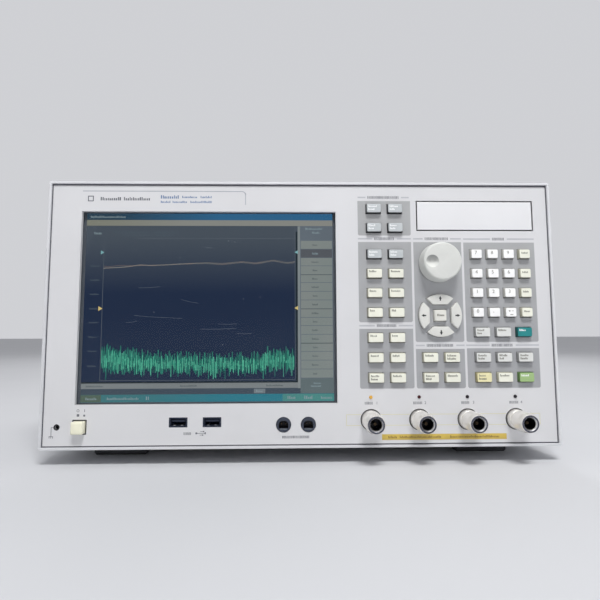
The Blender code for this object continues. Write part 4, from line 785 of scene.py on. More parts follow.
for number, (top, bottom) in enumerate(zip(SOFTKEY_EDGES, SOFTKEY_EDGES[1:])):
    if number != PICKED:
        dull_words.append((223.6, (top + bottom) / 2, 3.8 + number % 3, 1.5, 160 + number, "centre"))
lit_marks("picture_dull_marks", words_of(dull_words), glow_of("dull_marks", tone(86, 94, 96)), 3)


def pointer(name, x, z, size, sign, material):
    """A small triangle on the edge of the graph, pointing into it."""
    made = circle(name, panel(x, z, PLATE - 4 * LAYER), size, 3, -math.pi / 2 * sign)
    return fit(thicken(made, 0.03), material)


cyan_glow = glow_of("cyan_pointer", tone(120, 170, 175))
yellow_glow = glow_of("yellow_pointer", tone(206, 186, 120))
pointer("pointer_upper_left", 43.0, 161.9, 2.0, -1, cyan_glow)
pointer("pointer_lower_left", 42.6, 114.2, 2.3, -1, yellow_glow)
pointer("pointer_upper_right", 208.0, 162.2, 1.8, 1, cyan_glow)
pointer("pointer_lower_right", 208.0, 114.3, 2.0, 1, yellow_glow)


def ribbon(name, points, material, layer):
    """A thin closed band through (x, low, high) points across the picture."""
    bpy.ops.object.select_all(action="DESELECT")
    count = len(points) - 1
    bpy.ops.mesh.primitive_grid_add(
        x_subdivisions=count, y_subdivisions=1, size=1.0, location=(0, 0, 0), rotation=(math.pi / 2, 0, 0)
    )
    made = bpy.context.object
    made.name = name
    bpy.ops.object.transform_apply(location=True, rotation=True, scale=True)
    for vert in made.data.vertices:
        step = round((vert.co.x + 0.5) * count)
        x, low, high = points[step]
        vert.co = panel(x, high if vert.co.z > 0 else low, PLATE - LAYER * layer)
    return fit(thicken(made, 0.03), material)


def height_at(x, known):
    """A height between known (x, height) pairs."""
    for (x0, z0), (x1, z1) in zip(known, known[1:]):
        if x <= x1:
            return z0 + (z1 - z0) * max(0.0, (x - x0) / (x1 - x0))
    return known[-1][1]


# The upper trace: a pale double line that weaves, with a fainter branch at its start.
GRAPH_LEFT = 44.6
TRACE = (
    (GRAPH_LEFT, 148.4),
    (60.0, 149.2),
    (66.2, 149.8),
    (75.3, 151.2),
    (84.0, 150.7),
    (96.4, 151.2),
    (108.1, 151.9),
    (130.9, 152.8),
    (144.8, 151.9),
    (161.4, 153.7),
    (173.3, 152.4),
    (187.8, 155.0),
    (199.7, 152.8),
    (206.4, 153.6),
)
chance = random.Random(7)
trace_points = []
twin_points = []
TRACE_STEPS = 320
for i in range(TRACE_STEPS + 1):
    x = GRAPH_LEFT + 161.8 * i / TRACE_STEPS
    wobble = 0.62 if 122 < x else 0.3
    swing = wobble * math.sin(1.9 * x) + chance.uniform(-0.08, 0.08)
    middle = height_at(x, TRACE)
    trace_points.append((x, middle + swing - 0.13, middle + swing + 0.13))
    twin_points.append((x, middle - swing - 0.12, middle - swing + 0.12))
trace_glow = glow_of("trace_upper", tone(166, 148, 136), tone(150, 150, 140), 0.006)
ribbon("trace_upper", trace_points, trace_glow, 4)
twin_glow = glow_of("trace_twin", tone(128, 124, 120), tone(112, 116, 116), 0.006)
ribbon("trace_twin", twin_points, twin_glow, 3)
branch = []
for i in range(41):
    share = i / 40
    x = GRAPH_LEFT + 34 * share
    middle = 150.3 - 0.6 * math.sin(math.pi * i / 12) * (1 - share) + 0.4 * share
    branch.append((x, middle - 0.14, middle + 0.14))
ribbon("trace_branch", branch, glow_of("trace_branch", tone(120, 108, 104)), 4)

# The band of noise: a dim jagged ribbon behind two rows of upright strokes, between these two heights.
NOISE_TOP = ((GRAPH_LEFT, 80.5), (60.0, 78.8), (80.0, 75.5), (110.0, 73.2))
NOISE_TOP += ((150.0, 72.5), (176.0, 73.0), (184.0, 77.5), (206.4, 76.8))
NOISE_LOW = ((GRAPH_LEFT, 64.5), (80.0, 63.0), (120.0, 61.5), (176.0, 61.5), (184.0, 64.5), (206.4, 63.0))
GRAPH_FLOOR = 55.2


def noise_band(seed, top_reach, low_reach, steps):
    """A jagged band: its ends leap up and down at each step, and now and then far."""
    luck = random.Random(seed)
    points = []
    for i in range(steps + 1):
        x = 44.9 + 161.0 * i / steps
        high = height_at(x, NOISE_TOP) + top_reach * luck.uniform(-1.0, 1.0)
        low = height_at(x, NOISE_LOW) + low_reach * luck.uniform(-1.0, 1.0)
        points.append((x, max(GRAPH_FLOOR, low), high))
    return points


def spikes(seed, count, reach, top_shift, low_shift, wide):
    """Upright strokes side by side, each with ends of its own."""
    luck = random.Random(seed)
    marks = []
    for i in range(count):
        x = 45.2 + 160.6 * (i + luck.uniform(0.15, 0.85)) / count
        high = height_at(x, NOISE_TOP) + top_shift + reach * luck.uniform(-1.0, 1.0)
        low = height_at(x, NOISE_LOW) + low_shift + reach * luck.uniform(-1.0, 1.0)
        if luck.random() < 0.14:
            low -= luck.uniform(2.0, 7.0)
        low = max(GRAPH_FLOOR, low)
        marks.append((x, (high + low) / 2, wide * luck.uniform(0.7, 1.3), high - low))
    return marks


dim_green = glow_of("noise_dim", tone(28, 74, 76), tone(24, 60, 68), 0.002)
mid_green = glow_of("noise_mid", tone(44, 132, 112), tone(34, 108, 94), 0.002)
bright_green = glow_of("noise_bright", tone(88, 186, 154), tone(64, 156, 130), 0.002)
ribbon("noise_back", noise_band(11, 2.2, 2.6, 120), dim_green, 2)
lit_marks("noise_middle", spikes(12, 165, 4.6, 0.6, 0.0, 0.62), mid_green, 3)
lit_marks("noise_front", spikes(13, 128, 4.4, -2.6, 2.6, 0.52), bright_green, 4)

# Fine scratches and specks that years of use have left on the touch glass. Each scratch: its middle's
# x and z, its length and its slope.
scratch_glass = finish_of("scratched_glass", tone(140, 150, 158), 0.5, mottle=0.1, grain=0.0)
SCRATCHES = (
    (118.0, 120.0, 14.0, -0.22),
    (92.0, 107.0, 40.0, -0.06),
    (70.0, 103.0, 9.0, 0.16),
    (142.0, 97.0, 30.0, 0.02),
    (150.0, 101.0, 16.0, 0.0),
    (84.0, 132.0, 18.0, 0.05),
    (133.0, 166.0, 6.0, -0.2),
    (164.0, 93.0, 12.0, 0.0),
)
lines = []
for x, z, length, slope in SCRATCHES:
    parts = max(4, int(length / 1.5))
    for i in range(parts):
        share = (i + 0.5) / parts
        along = length * (share - 0.5)
        sag = 1.2 * share * (1 - share)
        lines.append((x + along, z + slope * along - sag, length / parts * 0.9, 0.1))
SPECKS = ((72.5, 163.0), (109.0, 151.9), (109.3, 157.0), (150.0, 171.5), (155.5, 170.5))
SPECKS += ((88.5, 111.0), (163.0, 122.0), (177.0, 123.5), (146.0, 83.5))
lines += [(x, z, 0.5, 0.5) for x, z in SPECKS]
fit(flat_marks("glass_scratches", lines, GLASS_FACE - 0.01, 0.012), scratch_glass)

# Drive bay cover: a moulded blank, painted like the panel, with a fine step round its face. Its flange clips
# in behind the panel. The flange and the cover's side faces are near black, painted shade of the thin gap.


def facing(axis, sign):
    """Tests for a face that looks along an axis: 0 is X, 1 is Y and 2 is Z."""
    return lambda face: face.normal[axis] * sign > 0.9


def coat(piece, material, test):
    """Gives the faces that pass a test another material."""
    piece.data.materials.append(material)
    pick(piece, test)
    piece.active_material_index = len(piece.data.materials) - 1
    bpy.ops.object.material_slot_assign()
    return close(piece)


bay_paint = finish_of("bay_paint", tone(227, 227, 229), 0.42, mottle=0.012, mottle_size=0.05, grain=0.04)
bay = start_block("bay_cover", panel(311.15, 180.65, -199.5), panel(410.05, 204.95, -196.3))
pick(bay, facing(1, -1))
bpy.ops.mesh.inset(thickness=0.7 * MM, depth=0.0)
bpy.ops.transform.translate(value=(0, -0.22 * MM, 0))
close(bay)
soften(bay, 0.14 * MM, 3, 12)
bay_back = start_block("bay_back", panel(308.0, 177.3, -196.5), panel(413.0, 208.3, -193.6))
soften(bay_back, 0.3 * MM, 2)
bay_flange = finish_of("bay_flange", tone(16, 16, 18), 0.6, mottle=0.06)
bay.data.materials.append(bay_paint)
# The cover's side faces take the near-black flange colour: painted shade.
coat(bay, bay_flange, lambda face: abs(face.normal.y) < 0.5)
bay_back.data.materials.append(bay_flange)
fit(join("drive_bay_blank", [bay, bay_back]), None, "root", ["drive_bay_cover"])

# Keys: moulded caps on rubber webs, one web to a row, pressed through the panel from behind. Each cap has
# drafted sides, round corners and a shallow dish across its face. Legends sit at a cap's upper left.

WEB_FACE = -196.55
WEB_BACK = -195.55
CAP_ROOT = -200.1
CAP_FRONT = -203.05
CAP_HEIGHT = 8.2
DRAFT = 0.45
WIDE = 12.8
NARROW = 9.6


def copy_of(piece, name, shift):
    """A copy with its own mesh, moved by a shift in metres."""
    made = piece.copy()
    made.data = piece.data.copy()
    made.name = name
    made.data.transform(Matrix.Translation(Vector(shift)))
    bpy.context.scene.collection.objects.link(made)
    return made


def cap_finish(name, colour):
    """The satin plastic of a moulded key cap."""
    return finish_of(name, colour, 0.46, mottle=0.025, mottle_size=0.012, grain=0.1, grain_size=0.0004)


cream_cap = cap_finish("cream_cap", tone(236, 236, 222))
grey_cap = cap_finish("grey_cap", tone(190, 195, 197))
digit_cap = cap_finish("digit_cap", tone(249, 249, 248))
light_cap = cap_finish("light_cap", tone(220, 221, 218))
yellow_cap = cap_finish("yellow_cap", tone(231, 224, 178))
green_cap = cap_finish("green_cap", tone(158, 187, 128))
teal_cap = cap_finish("teal_cap", tone(32, 132, 133))
# Each cap's sides take a darker copy of its colour and its underside a far darker one: painted shade.
shaded_skirts = {}
shaded_undersides = {}
for cap_material, colour in (
    (cream_cap, tone(188, 186, 168)),
    (grey_cap, tone(58, 60, 64)),
    (digit_cap, tone(196, 195, 190)),
    (light_cap, tone(150, 151, 150)),
    (yellow_cap, tone(176, 168, 126)),
    (green_cap, tone(98, 130, 74)),
    (teal_cap, tone(18, 84, 84)),
):
    shaded_skirts[cap_material.name] = cap_finish(f"{cap_material.name}_skirt", colour)
    shaded_undersides[cap_material.name] = cap_finish(f"{cap_material.name}_underside", scaled(colour, 0.36))
web_rubber = finish_of("web_rubber", tone(70, 72, 76), 0.7, mottle=0.06)
grey_legend = finish_of("grey_legend", tone(122, 121, 112), 0.6, mottle=0.05, mottle_size=0.003, grain=0.0)
white_legend = finish_of("white_legend", tone(246, 247, 247), 0.6, mottle=0.03, mottle_size=0.003, grain=0.0)
FACE_MARKS = CAP_FRONT + 0.17


def key_cap(name, x, z, width, height=CAP_HEIGHT, dish=0.16, corner=1.1):
    """A key cap: a straight root in the panel's hole, drafted sides above it, and a dished face."""
    cap = panel_block(name, x, z, width, height, CAP_ROOT, WEB_FACE - 0.05)
    round_corners(cap, corner, 4)
    pick(cap, facing(1, -1))
    bpy.ops.mesh.extrude_region_move(TRANSFORM_OT_translate={"value": (0, (CAP_FRONT - CAP_ROOT) * MM, 0)})
    share = (1 - 2 * DRAFT / width, 1.0, 1 - 2 * DRAFT / height)
    bpy.ops.transform.resize(value=share, center_override=panel(x, z, CAP_FRONT))
    close(cap)
    soften(cap, 0.42 * MM, 3)
    crease = z - 0.16 * height
    pick(cap, lambda face: face.normal.y < -0.98 and face.calc_area() > 1e-5)
    bpy.ops.mesh.bisect(plane_co=panel(x, crease), plane_no=(0, 0, 1), use_fill=False)
    close(cap)
    level = panel(x, crease).z
    pick(
        cap,
        lambda edge: all(abs(v.co.z - level) < 1e-5 and v.co.y < (CAP_FRONT + 0.02) * MM for v in edge.verts),
        "EDGE",
    )
    bpy.ops.transform.translate(value=(0, dish * MM, 0))
    return close(cap)


PAIR = (-9.075, 9.075)
TRIPLE = (-17.65, 0.0, 17.65)
DIGITS = (-20.55, -6.85, 6.85, 20.55)
LEFT_MIDDLE, CENTRE_MIDDLE, RIGHT_MIDDLE = 282.5, 327.8, 380.5

# Each row of two keys: its solid, the block's middle, the row's height, the caps' finish, and for each key
# the widths of its legend's lines.
PAIR_ROWS = (
    ("channel_keys_row_1", LEFT_MIDDLE, 198.5, grey_cap, ((7.6, 5.2), (7.6, 5.0))),
    ("channel_keys_row_2", LEFT_MIDDLE, 182.0, grey_cap, ((5.6, 5.0), (5.6, 5.2))),
    ("response_keys_row_1", LEFT_MIDDLE, 159.3, grey_cap, ((7.8, 5.0), (6.0, 4.8))),
    ("response_keys_row_2", LEFT_MIDDLE, 142.8, cream_cap, ((6.0,), (7.8,))),
    ("response_keys_row_3", LEFT_MIDDLE, 126.3, cream_cap, ((6.0,), (8.2,))),
    ("response_keys_row_4", LEFT_MIDDLE, 109.8, cream_cap, ((4.2,), (3.4,))),
    ("stimulus_keys_row_1", LEFT_MIDDLE, 88.9, cream_cap, ((5.4,), (5.2,))),
    ("stimulus_keys_row_2", LEFT_MIDDLE, 72.4, cream_cap, ((7.2,), (5.4,))),
    ("stimulus_keys_row_3", LEFT_MIDDLE, 55.9, cream_cap, ((7.0, 5.6), (7.6,))),
    ("marker_keys_row_1", CENTRE_MIDDLE, 72.4, cream_cap, ((7.4,), (7.4, 7.2))),
    ("marker_keys_row_2", CENTRE_MIDDLE, 55.9, cream_cap, ((7.4, 4.6), (8.8,))),
)
KEY_ROWS = [(row, middle, PAIR, z, WIDE, (cap, cap), lines) for row, middle, z, cap, lines in PAIR_ROWS]
digit_caps = (digit_cap, digit_cap, digit_cap, cream_cap)
for number, (height, digits) in enumerate(((159.3, "789"), (142.8, "456"), (126.3, "123"), (109.8, "0"))):
    row = f"digit_keys_row_{number + 1}"
    KEY_ROWS.append((row, RIGHT_MIDDLE, DIGITS, height, NARROW, digit_caps, digits))
for row, height, caps, lines in (
    ("entry_keys_row_1", 93.3, (light_cap, light_cap, teal_cap), ((6.0, 3.6), (6.6,), (5.4,))),
    ("state_keys_row_1", 72.4, (light_cap, light_cap, light_cap), ((6.8, 5.6), (6.8, 4.2), (6.8, 5.8))),
    ("state_keys_row_2", 55.9, (yellow_cap, cream_cap, green_cap), ((5.6, 6.4), (7.4,), (6.6,))),
):
    KEY_ROWS.append((row, RIGHT_MIDDLE, TRIPLE, height, WIDE, caps, lines))


def key_legends(x, z, width, lines, seed):
    """Marks at a cap's upper left, one or two lines."""
    left = x - width / 2 + 1.7
    marks = []
    for number, length in enumerate(lines):
        marks += word_marks(left, z + 1.75 - 2.55 * number, length, 1.75, seed + 7 * number)
    return marks


PATTERN_Z = 198.5
wide_cap = key_cap("wide_cap", LEFT_MIDDLE, PATTERN_Z, WIDE)
narrow_cap = key_cap("narrow_cap", LEFT_MIDDLE, PATTERN_Z, NARROW, dish=0.13)
WEB_MARGIN = 1.6
half_web = CAP_HEIGHT / 2 + WEB_MARGIN

for number, (row, middle, places, height, width, caps, legends) in enumerate(KEY_ROWS):
    first = middle + places[0] - width / 2 - WEB_MARGIN
    last = middle + places[-1] + width / 2 + WEB_MARGIN
    low, high = panel(first, height - half_web, WEB_FACE), panel(last, height + half_web, WEB_BACK)
    web = start_block(f"{row}_web", low, high)
    soften(web, 0.3 * MM, 2)
    web.data.materials.append(web_rubber)
    joined = [web]
    grey_marks, white_marks = [], []
    legend_parts = []
    for key, (place, cap_material) in enumerate(zip(places, caps)):
        x = middle + place
        pattern = wide_cap if width == WIDE else narrow_cap
        cap = copy_of(pattern, f"{row}_cap_{key}", ((x - LEFT_MIDDLE) * MM, 0, (height - PATTERN_Z) * MM))
        cap.data.materials.append(cap_material)
        # Painted shade on the cap's sides and underside.
        coat(cap, shaded_skirts[cap_material.name], lambda face: abs(face.normal.y) < 0.5)
        coat(cap, shaded_undersides[cap_material.name], lambda face: face.normal.z < -0.7)
        joined.append(cap)
        into = white_marks if cap_material in (grey_cap, teal_cap, green_cap) else grey_marks
        seed = 200 + 10 * number + key
        if isinstance(legends, tuple):
            into += key_legends(x, height, width, legends[key], seed)
        elif key < len(legends):
            face = CAP_FRONT + 0.03
            text = raised_text(f"{row}_digit_{key}", legends[key], x - 0.7, height + 0.95, 4.1, face, 0.05)
            text.data.materials.append(grey_legend)
            legend_parts.append(text)
        elif key == 3:
            into += word_marks(x - 0.2, height + 0.9, 5.2, 1.5, seed, "centre")
        elif key == 1:
            # The point.
            into.append((x - 1.2, height + 0.2, 0.55, 0.55))
        elif key == 2:
            # Plus and minus over a short bar.
            into += [(x - 1.4, height + 1.2, 1.6, 0.4), (x - 1.4, height + 1.2, 0.4, 1.6)]
            into += [(x + 1.2, height + 1.2, 1.4, 0.4), (x + 0.3, height - 1.9, 2.4, 0.5)]
    fit(join(f"{row}_keys", joined), None, row, [row])
    for marks, ink in ((grey_marks, grey_legend), (white_marks, white_legend)):
        if marks:
            flat = flat_marks(f"{row}_marks", marks, FACE_MARKS, 0.2)
            flat.data.materials.append(ink)
            legend_parts.append(flat)
    fit(join(f"{row}_legends", legend_parts), None, row)
bpy.data.objects.remove(wide_cap)
bpy.data.objects.remove(narrow_cap)

# Arrow keys: four sectors of a ring, each with a flat inner side and slanted ends, round the enter key.
# Each is moulded plastic with a rounded front edge and rides on a lip behind the panel. The lip and a thin
# ring round each key on the panel are near black: painted shade of the gap round the key.

ARROWS_X, ARROWS_Z = 327.8, 107.3
ARROW_RADIUS, ARROW_FLAT, ARROW_SLANT = 18.0, 9.1, 2.89
arrow_plastic = cap_finish("arrow_plastic", tone(217, 217, 212))
hole_shade_paint = finish_of("hole_shade_paint", tone(30, 30, 33), 0.7, mottle=0.06)
arrow_ink = finish_of("arrow_ink", tone(58, 60, 62), 0.6, mottle=0.05, mottle_size=0.003, grain=0.0)


def sector(name, front, back, grow):
    """The upper arrow key's outline between two depths, cut from a disc."""
    bpy.ops.object.select_all(action="DESELECT")
    bpy.ops.mesh.primitive_cylinder_add(
        vertices=120,
        radius=(ARROW_RADIUS + grow) * MM,
        depth=(back - front) * MM,
        location=panel(ARROWS_X, ARROWS_Z, (front + back) / 2),
        rotation=(math.pi / 2, 0, 0),
    )
    made = bpy.context.object
    made.name = name
    bpy.ops.object.transform_apply(location=True, rotation=True, scale=True)
    flat = panel(ARROWS_X, ARROWS_Z + ARROW_FLAT - grow)
    corner = panel(ARROWS_X, ARROWS_Z + ARROW_SLANT - 1.414 * grow)
    pick(made, everything)
    for place, outward in ((flat, (0, 0, -1)), (corner, (1, 0, -1)), (corner, (-1, 0, -1))):
        bpy.ops.mesh.select_all(action="SELECT")
        bpy.ops.mesh.bisect(plane_co=place, plane_no=outward, clear_outer=True, use_fill=True)
    bpy.ops.mesh.select_all(action="SELECT")
    bpy.ops.mesh.normals_make_consistent(inside=False)
    return close(made)


def arrow_mark(y):
    """A stubby arrow that points up."""
    head = thicken(circle("arrow_head", panel(ARROWS_X, ARROWS_Z + 14.7, y), 1.5, 3), 0.03)
    stem = flat_marks("arrow_stem", [(ARROWS_X, ARROWS_Z + 13.2, 1.1, 1.9)], y, 0.03)
    return join("arrow_mark", [head, stem])


upper = sector("arrow_cap", CAP_FRONT, WEB_FACE - 0.02, -0.08)
soften(upper, 0.55 * MM, 4)
lip = sector("arrow_lip", WEB_FACE, WEB_BACK, 0.8)
lip.data.materials.append(hole_shade_paint)
upper.data.materials.append(arrow_plastic)
upper = join("arrow_pattern", [upper, lip])
mark = arrow_mark(CAP_FRONT + 0.01)
# A thin near-black ring on the panel round each key: painted shade.
seam = sector("arrow_shade_ring", -199.87, -199.4, 0.75)
carve(seam, sector("seam_hole", -201.0, -198.0, 0.1))
hub = panel(ARROWS_X, ARROWS_Z)
for word, angle in (("up", 0.0), ("left", 90.0), ("down", 180.0), ("right", 270.0)):
    solid = f"arrow_key_{word}"
    key = copy_of(upper, f"arrow_{word}", (0, 0, 0))
    sign = copy_of(mark, f"arrow_{word}_sign", (0, 0, 0))
    edge = copy_of(seam, f"arrow_{word}_seam", (0, 0, 0))
    turn = Matrix.Translation(hub) @ Matrix.Rotation(-math.radians(angle), 4, "Y") @ Matrix.Translation(-hub)
    for piece in (key, sign, edge):
        piece.data.transform(turn)
    fit(key, None, solid, [solid])
    fit(sign, arrow_ink, solid)
    fit(edge, hole_shade_paint)
for spent in (upper, seam, mark):
    bpy.data.objects.remove(spent)

# Enter key: a square moulded cap in the middle of the arrow keys, dished like the others, on a rubber
# web of its own behind the panel.

enter = key_cap("enter_cap", ARROWS_X, ARROWS_Z, 10.4, 9.8, 0.14, 1.2)
enter.data.materials.append(cap_finish("enter_plastic", tone(222, 221, 214)))
enter_web = soften(panel_block("enter_web", ARROWS_X, ARROWS_Z, 12.0, 11.4, WEB_FACE, WEB_BACK), 0.3 * MM)
enter_web.data.materials.append(web_rubber)
fit(join("enter_cap_and_web", [enter, enter_web]), None, "enter_key", ["enter_key"])
enter_marks = word_marks(ARROWS_X, ARROWS_Z + 0.4, 6.0, 1.9, 301, "centre")
fit(flat_marks("enter_marks", enter_marks, FACE_MARKS, 0.2), grey_legend, "enter_key")

# Rotary knob: moulded in grey plastic, with a tapered skirt, a rounded brow and a finger dimple near its
# edge. It is pushed onto the shaft of an encoder behind the panel.


def turned(name, x, z, profile, sides=64, angle=30.0):
    """A body of revolution about a line from front to back: profile is (radius, y), in order."""
    radius, y = profile[0]
    made = circle(name, panel(x, z, y), radius, sides)
    pick(made, everything)
    for next_radius, next_y in profile[1:]:
        bpy.ops.mesh.extrude_region_move(TRANSFORM_OT_translate={"value": (0, (next_y - y) * MM, 0)})
        share = next_radius / radius
        bpy.ops.transform.resize(value=(share, 1.0, share), center_override=panel(x, z, next_y))
        radius, y = next_radius, next_y
    bpy.ops.mesh.select_all(action="SELECT")
    bpy.ops.mesh.normals_make_consistent(inside=False)
    close(made)
    bpy.ops.object.shade_smooth_by_angle(angle=math.radians(angle))
    return made


KNOB_X, KNOB_Z = 327.8, 151.8
knob_profile = [(3.0, -190.65), (3.0, -200.65), (16.3, -200.65), (16.6, -200.95), (15.85, -210.3)]
for i in range(1, 8):
    angle = math.radians(90 * i / 7)
    knob_profile.append((14.1 + 1.7 * math.cos(angle), -210.75 - 1.7 * math.sin(angle)))
knob = turned("knob", KNOB_X, KNOB_Z, knob_profile, 96, 25)
DIMPLE_X, DIMPLE_Z = KNOB_X - 8.6, KNOB_Z - 0.3
DIMPLE_RADIUS = 5.17
bpy.ops.object.select_all(action="DESELECT")
bpy.ops.mesh.primitive_uv_sphere_add(
    segments=64,
    ring_count=32,
    radius=5.7 * MM,
    location=panel(DIMPLE_X, DIMPLE_Z, -214.85),
    rotation=(math.pi / 2, 0, 0),
)
finger = bpy.context.object
bpy.ops.object.transform_apply(location=True, rotation=True, scale=True)
carve(knob, finger)


def from_axis(point, x, z):
    """How far a point is from a line that runs from front to back, in millimetres."""
    middle = panel(x, z)
    return math.hypot(point.x - middle.x, point.z - middle.z) / MM


def on_dimple_rim(edge):
    """Tests for an edge of the ring where the dimple meets the knob's face."""
    return edge.calc_length() < 1.2 * MM and all(
        v.co.y < -212.4 * MM and abs(from_axis(v.co, DIMPLE_X, DIMPLE_Z) - DIMPLE_RADIUS) < 0.15
        for v in edge.verts
    )


def in_dimple(face):
    """Tests for a face of the dimple's bowl."""
    middle = face.calc_center_median()
    return -212.4 * MM < middle.y < -208.5 * MM and from_axis(middle, DIMPLE_X, DIMPLE_Z) < 5.2


pick(knob, on_dimple_rim, "EDGE")
bpy.ops.mesh.bevel(offset=0.2 * MM, segments=3)
close(knob)
bpy.ops.object.shade_smooth_by_angle(angle=math.radians(30))
knob_plastic = finish_of("knob_plastic", tone(214, 215, 211), 0.4, mottle=0.02, mottle_size=0.01, grain=0.05)
knob.data.materials.append(knob_plastic)
level = panel(DIMPLE_X, DIMPLE_Z).z
# The dimple's bowl darkens towards its top: painted shade.
dimple_painted_shade = shade_graded_colour(
    "dimple_painted_shade", tone(156, 157, 155), tone(216, 217, 213), level - 1.0 * MM, level + 4.5 * MM
)
coat(knob, dimple_painted_shade, in_dimple)
fit(knob, None, "rotary_knob", ["rotary_knob"])

# Standby button: a cream moulded square with a pillowed front, on a square stem that enters the switch
# behind the panel. A thin dark line of painted shade on the panel marks where it passes through its hole.

SWITCH_X, SWITCH_Z = 31.8, 17.8
BUTTON_WIDTH, BUTTON_HEIGHT, BUTTON_FRONT = 9.2, 9.7, -205.2
button = panel_block("button", SWITCH_X, SWITCH_Z, BUTTON_WIDTH, BUTTON_HEIGHT, BUTTON_FRONT, -193.35)
pick(button, facing(1, -1))
bpy.ops.mesh.extrude_region_move(TRANSFORM_OT_translate={"value": (0, -0.65 * MM, 0)})
bpy.ops.transform.resize(value=(0.8, 1.0, 0.8), center_override=panel(SWITCH_X, SWITCH_Z, BUTTON_FRONT))
close(button)
soften(button, 0.75 * MM, 4, 20)
stem = panel_block("stem", SWITCH_X, SWITCH_Z, 4.8, 4.8, -193.5, -184.35)
button = join("standby_cap", [button, soften(stem, 0.3 * MM)])


def square_shade_line(name, x, z, outer, inner):
    """A thin dark line of painted shade on the panel round a square hole: outer and inner are (width,
    height).
    """
    edge = panel_block(name, x, z, *outer, -199.9, -199.86)
    return carve(edge, panel_block("seam_hole", x, z, *inner, -201.0, -199.0))


fit(square_shade_line("button_shade_line", SWITCH_X, SWITCH_Z, (11.4, 11.8), (9.8, 10.3)), hole_shade_paint)
button_plastic = finish_of(
    "button_plastic", tone(238, 236, 212), 0.4, mottle=0.03, mottle_size=0.008, grain=0.06
)
fit(button, button_plastic, "standby_button", ["standby_button"])
dark_plastic = finish_of("dark_plastic", tone(46, 48, 52), 0.5, mottle=0.06, grain=0.12)
keep_solid(dark_plastic, "dark_plastic", "standby_switch")

# Test ports: precision sockets turned in stainless steel, each with a collar at the panel, a dark blue-grey
# ring at its mouth and a centre contact deep in the bore. The bore's walls and the contact are painted dark
# as shade, and a thin dark ring of painted shade lies on the panel round each.

polished = finish_of(
    "polished_steel", tone(246, 243, 238), 0.34, 0.72, mottle=0.004, mottle_size=0.2, grain=0.0
)
dark_mouth_ring = finish_of("dark_mouth_ring", tone(82, 84, 96), 0.42, 0.5, mottle=0.14, mottle_size=0.004, grain=0.05)
# The bore is painted near black and the pin's gold darkened: painted shade deep in the socket.
bore_painted_shade = finish_of("bore_painted_shade", tone(30, 31, 36), 0.35, 0.7, mottle=0.1, grain=0.03)
mirror_steel = finish_of("mirror_steel", tone(238, 238, 240), 0.36, 1.0, mottle=0.02, grain=0.0)
contact_in_shade = finish_of("contact_in_shade", tone(104, 88, 68), 0.35, 0.8, mottle=0.06, grain=0.02)
contact_gold = finish_of("contact_gold", tone(190, 150, 84), 0.25, 1.0, mottle=0.06, grain=0.02)
PORT_X, PORT_Z, TIP = PORT_XS[0], 21.8, -221.85
barrel = [(4.0, -170.65), (4.0, -193.55), (10.4, -193.55), (10.4, -196.55), (7.9, -196.55), (7.9, -204.95)]
barrel += [(7.55, -205.35), (7.0, -205.35), (7.0, -206.75), (7.5, -206.75), (7.9, -207.15)]
barrel += [(7.9, -217.2), (7.72, -217.75), (7.1, -219.1), (7.0, -219.5), (7.0, -221.4), (6.7, TIP)]
barrel += [(5.4, TIP), (4.75, TIP + 0.75), (4.55, TIP + 1.3), (4.55, -210.85)]
port = turned("port_body", PORT_X, PORT_Z, barrel, 72, 24)
port.data.materials.append(polished)
coat(port, dark_mouth_ring, lambda face: face.normal.y < -0.95 and face.calc_center_median().y < (TIP + 0.1) * MM)
coat(
    port,
    bore_painted_shade,
    lambda face: from_axis(face.calc_center_median(), PORT_X, PORT_Z) < 4.6
    and -220.9 * MM < face.calc_center_median().y < -205 * MM,
)
coat(
    port,
    mirror_steel,
    lambda face: from_axis(face.calc_center_median(), PORT_X, PORT_Z) < 5.3
    and face.calc_center_median().y < -220.95 * MM
    and face.normal.y > -0.95,
)
pin_profile = [(1.3, -211.0), (1.3, -216.4), (0.95, -216.85), (0.6, -216.85), (0.55, -215.0)]
pin = turned("port_pin", PORT_X, PORT_Z, pin_profile, 28)
pin.data.materials.append(contact_in_shade)
port = join("port", [port, pin])


def round_shade_ring(name, x, z, outer, inner, sides):
    """A thin dark ring of painted shade on the panel round a hole, between two radii in millimetres."""
    edge = disc(name, x, z, outer, PANEL_FACE, 0.04, sides)
    return carve(edge, turned("seam_hole", x, z, [(inner, -199.0), (inner, -201.0)], sides))


for number, x in enumerate(PORT_XS):
    made = copy_of(port, f"coaxial_port_{number + 1}", ((x - PORT_X) * MM, 0, 0))
    fit(made, None, "root", [f"test_port_{number + 1}"])
    fit(round_shade_ring(f"port_seam_{number + 1}", x, PORT_Z, 8.75, 8.1, 64), hole_shade_paint)
bpy.data.objects.remove(port)

# Lamps: small domed lenses of coloured plastic, one in a hole over each port. The first is lit amber,
# the others are dark.

LAMP_Z = 40.1
lens_profile = [(1.42, -197.2), (1.42, -200.1), (1.3, -200.5), (0.95, -200.85), (0.45, -201.0)]
lens = turned("lamp_lens", PORT_X, LAMP_Z, lens_profile, 24, 40)
lamp_colours = (tone(200, 152, 62), tone(70, 32, 36), tone(34, 26, 34), tone(30, 26, 34))
for number, (x, colour) in enumerate(zip(PORT_XS, lamp_colours)):
    lens_plastic = finish_of(f"lamp_{number + 1}", colour, 0.2, mottle=0.2, mottle_size=0.003, grain=0.0)
    if number == 0:
        glow = lens_plastic.node_tree.nodes["Principled BSDF"]
        glow.inputs["Emission Color"].default_value = (*tone(220, 178, 84), 1.0)
        glow.inputs["Emission Strength"].default_value = 0.22
    made = copy_of(lens, f"lamp_{number + 1}", ((x - PORT_X) * MM, 0, 0))
    fit(made, lens_plastic)
bpy.data.objects.remove(lens)

# Data sockets: two folded steel shells on a small board, each with a dark moulded tongue, two bright
# spring tabs and a thin dark line of painted shade round its opening. The shells are painted dark as shade.

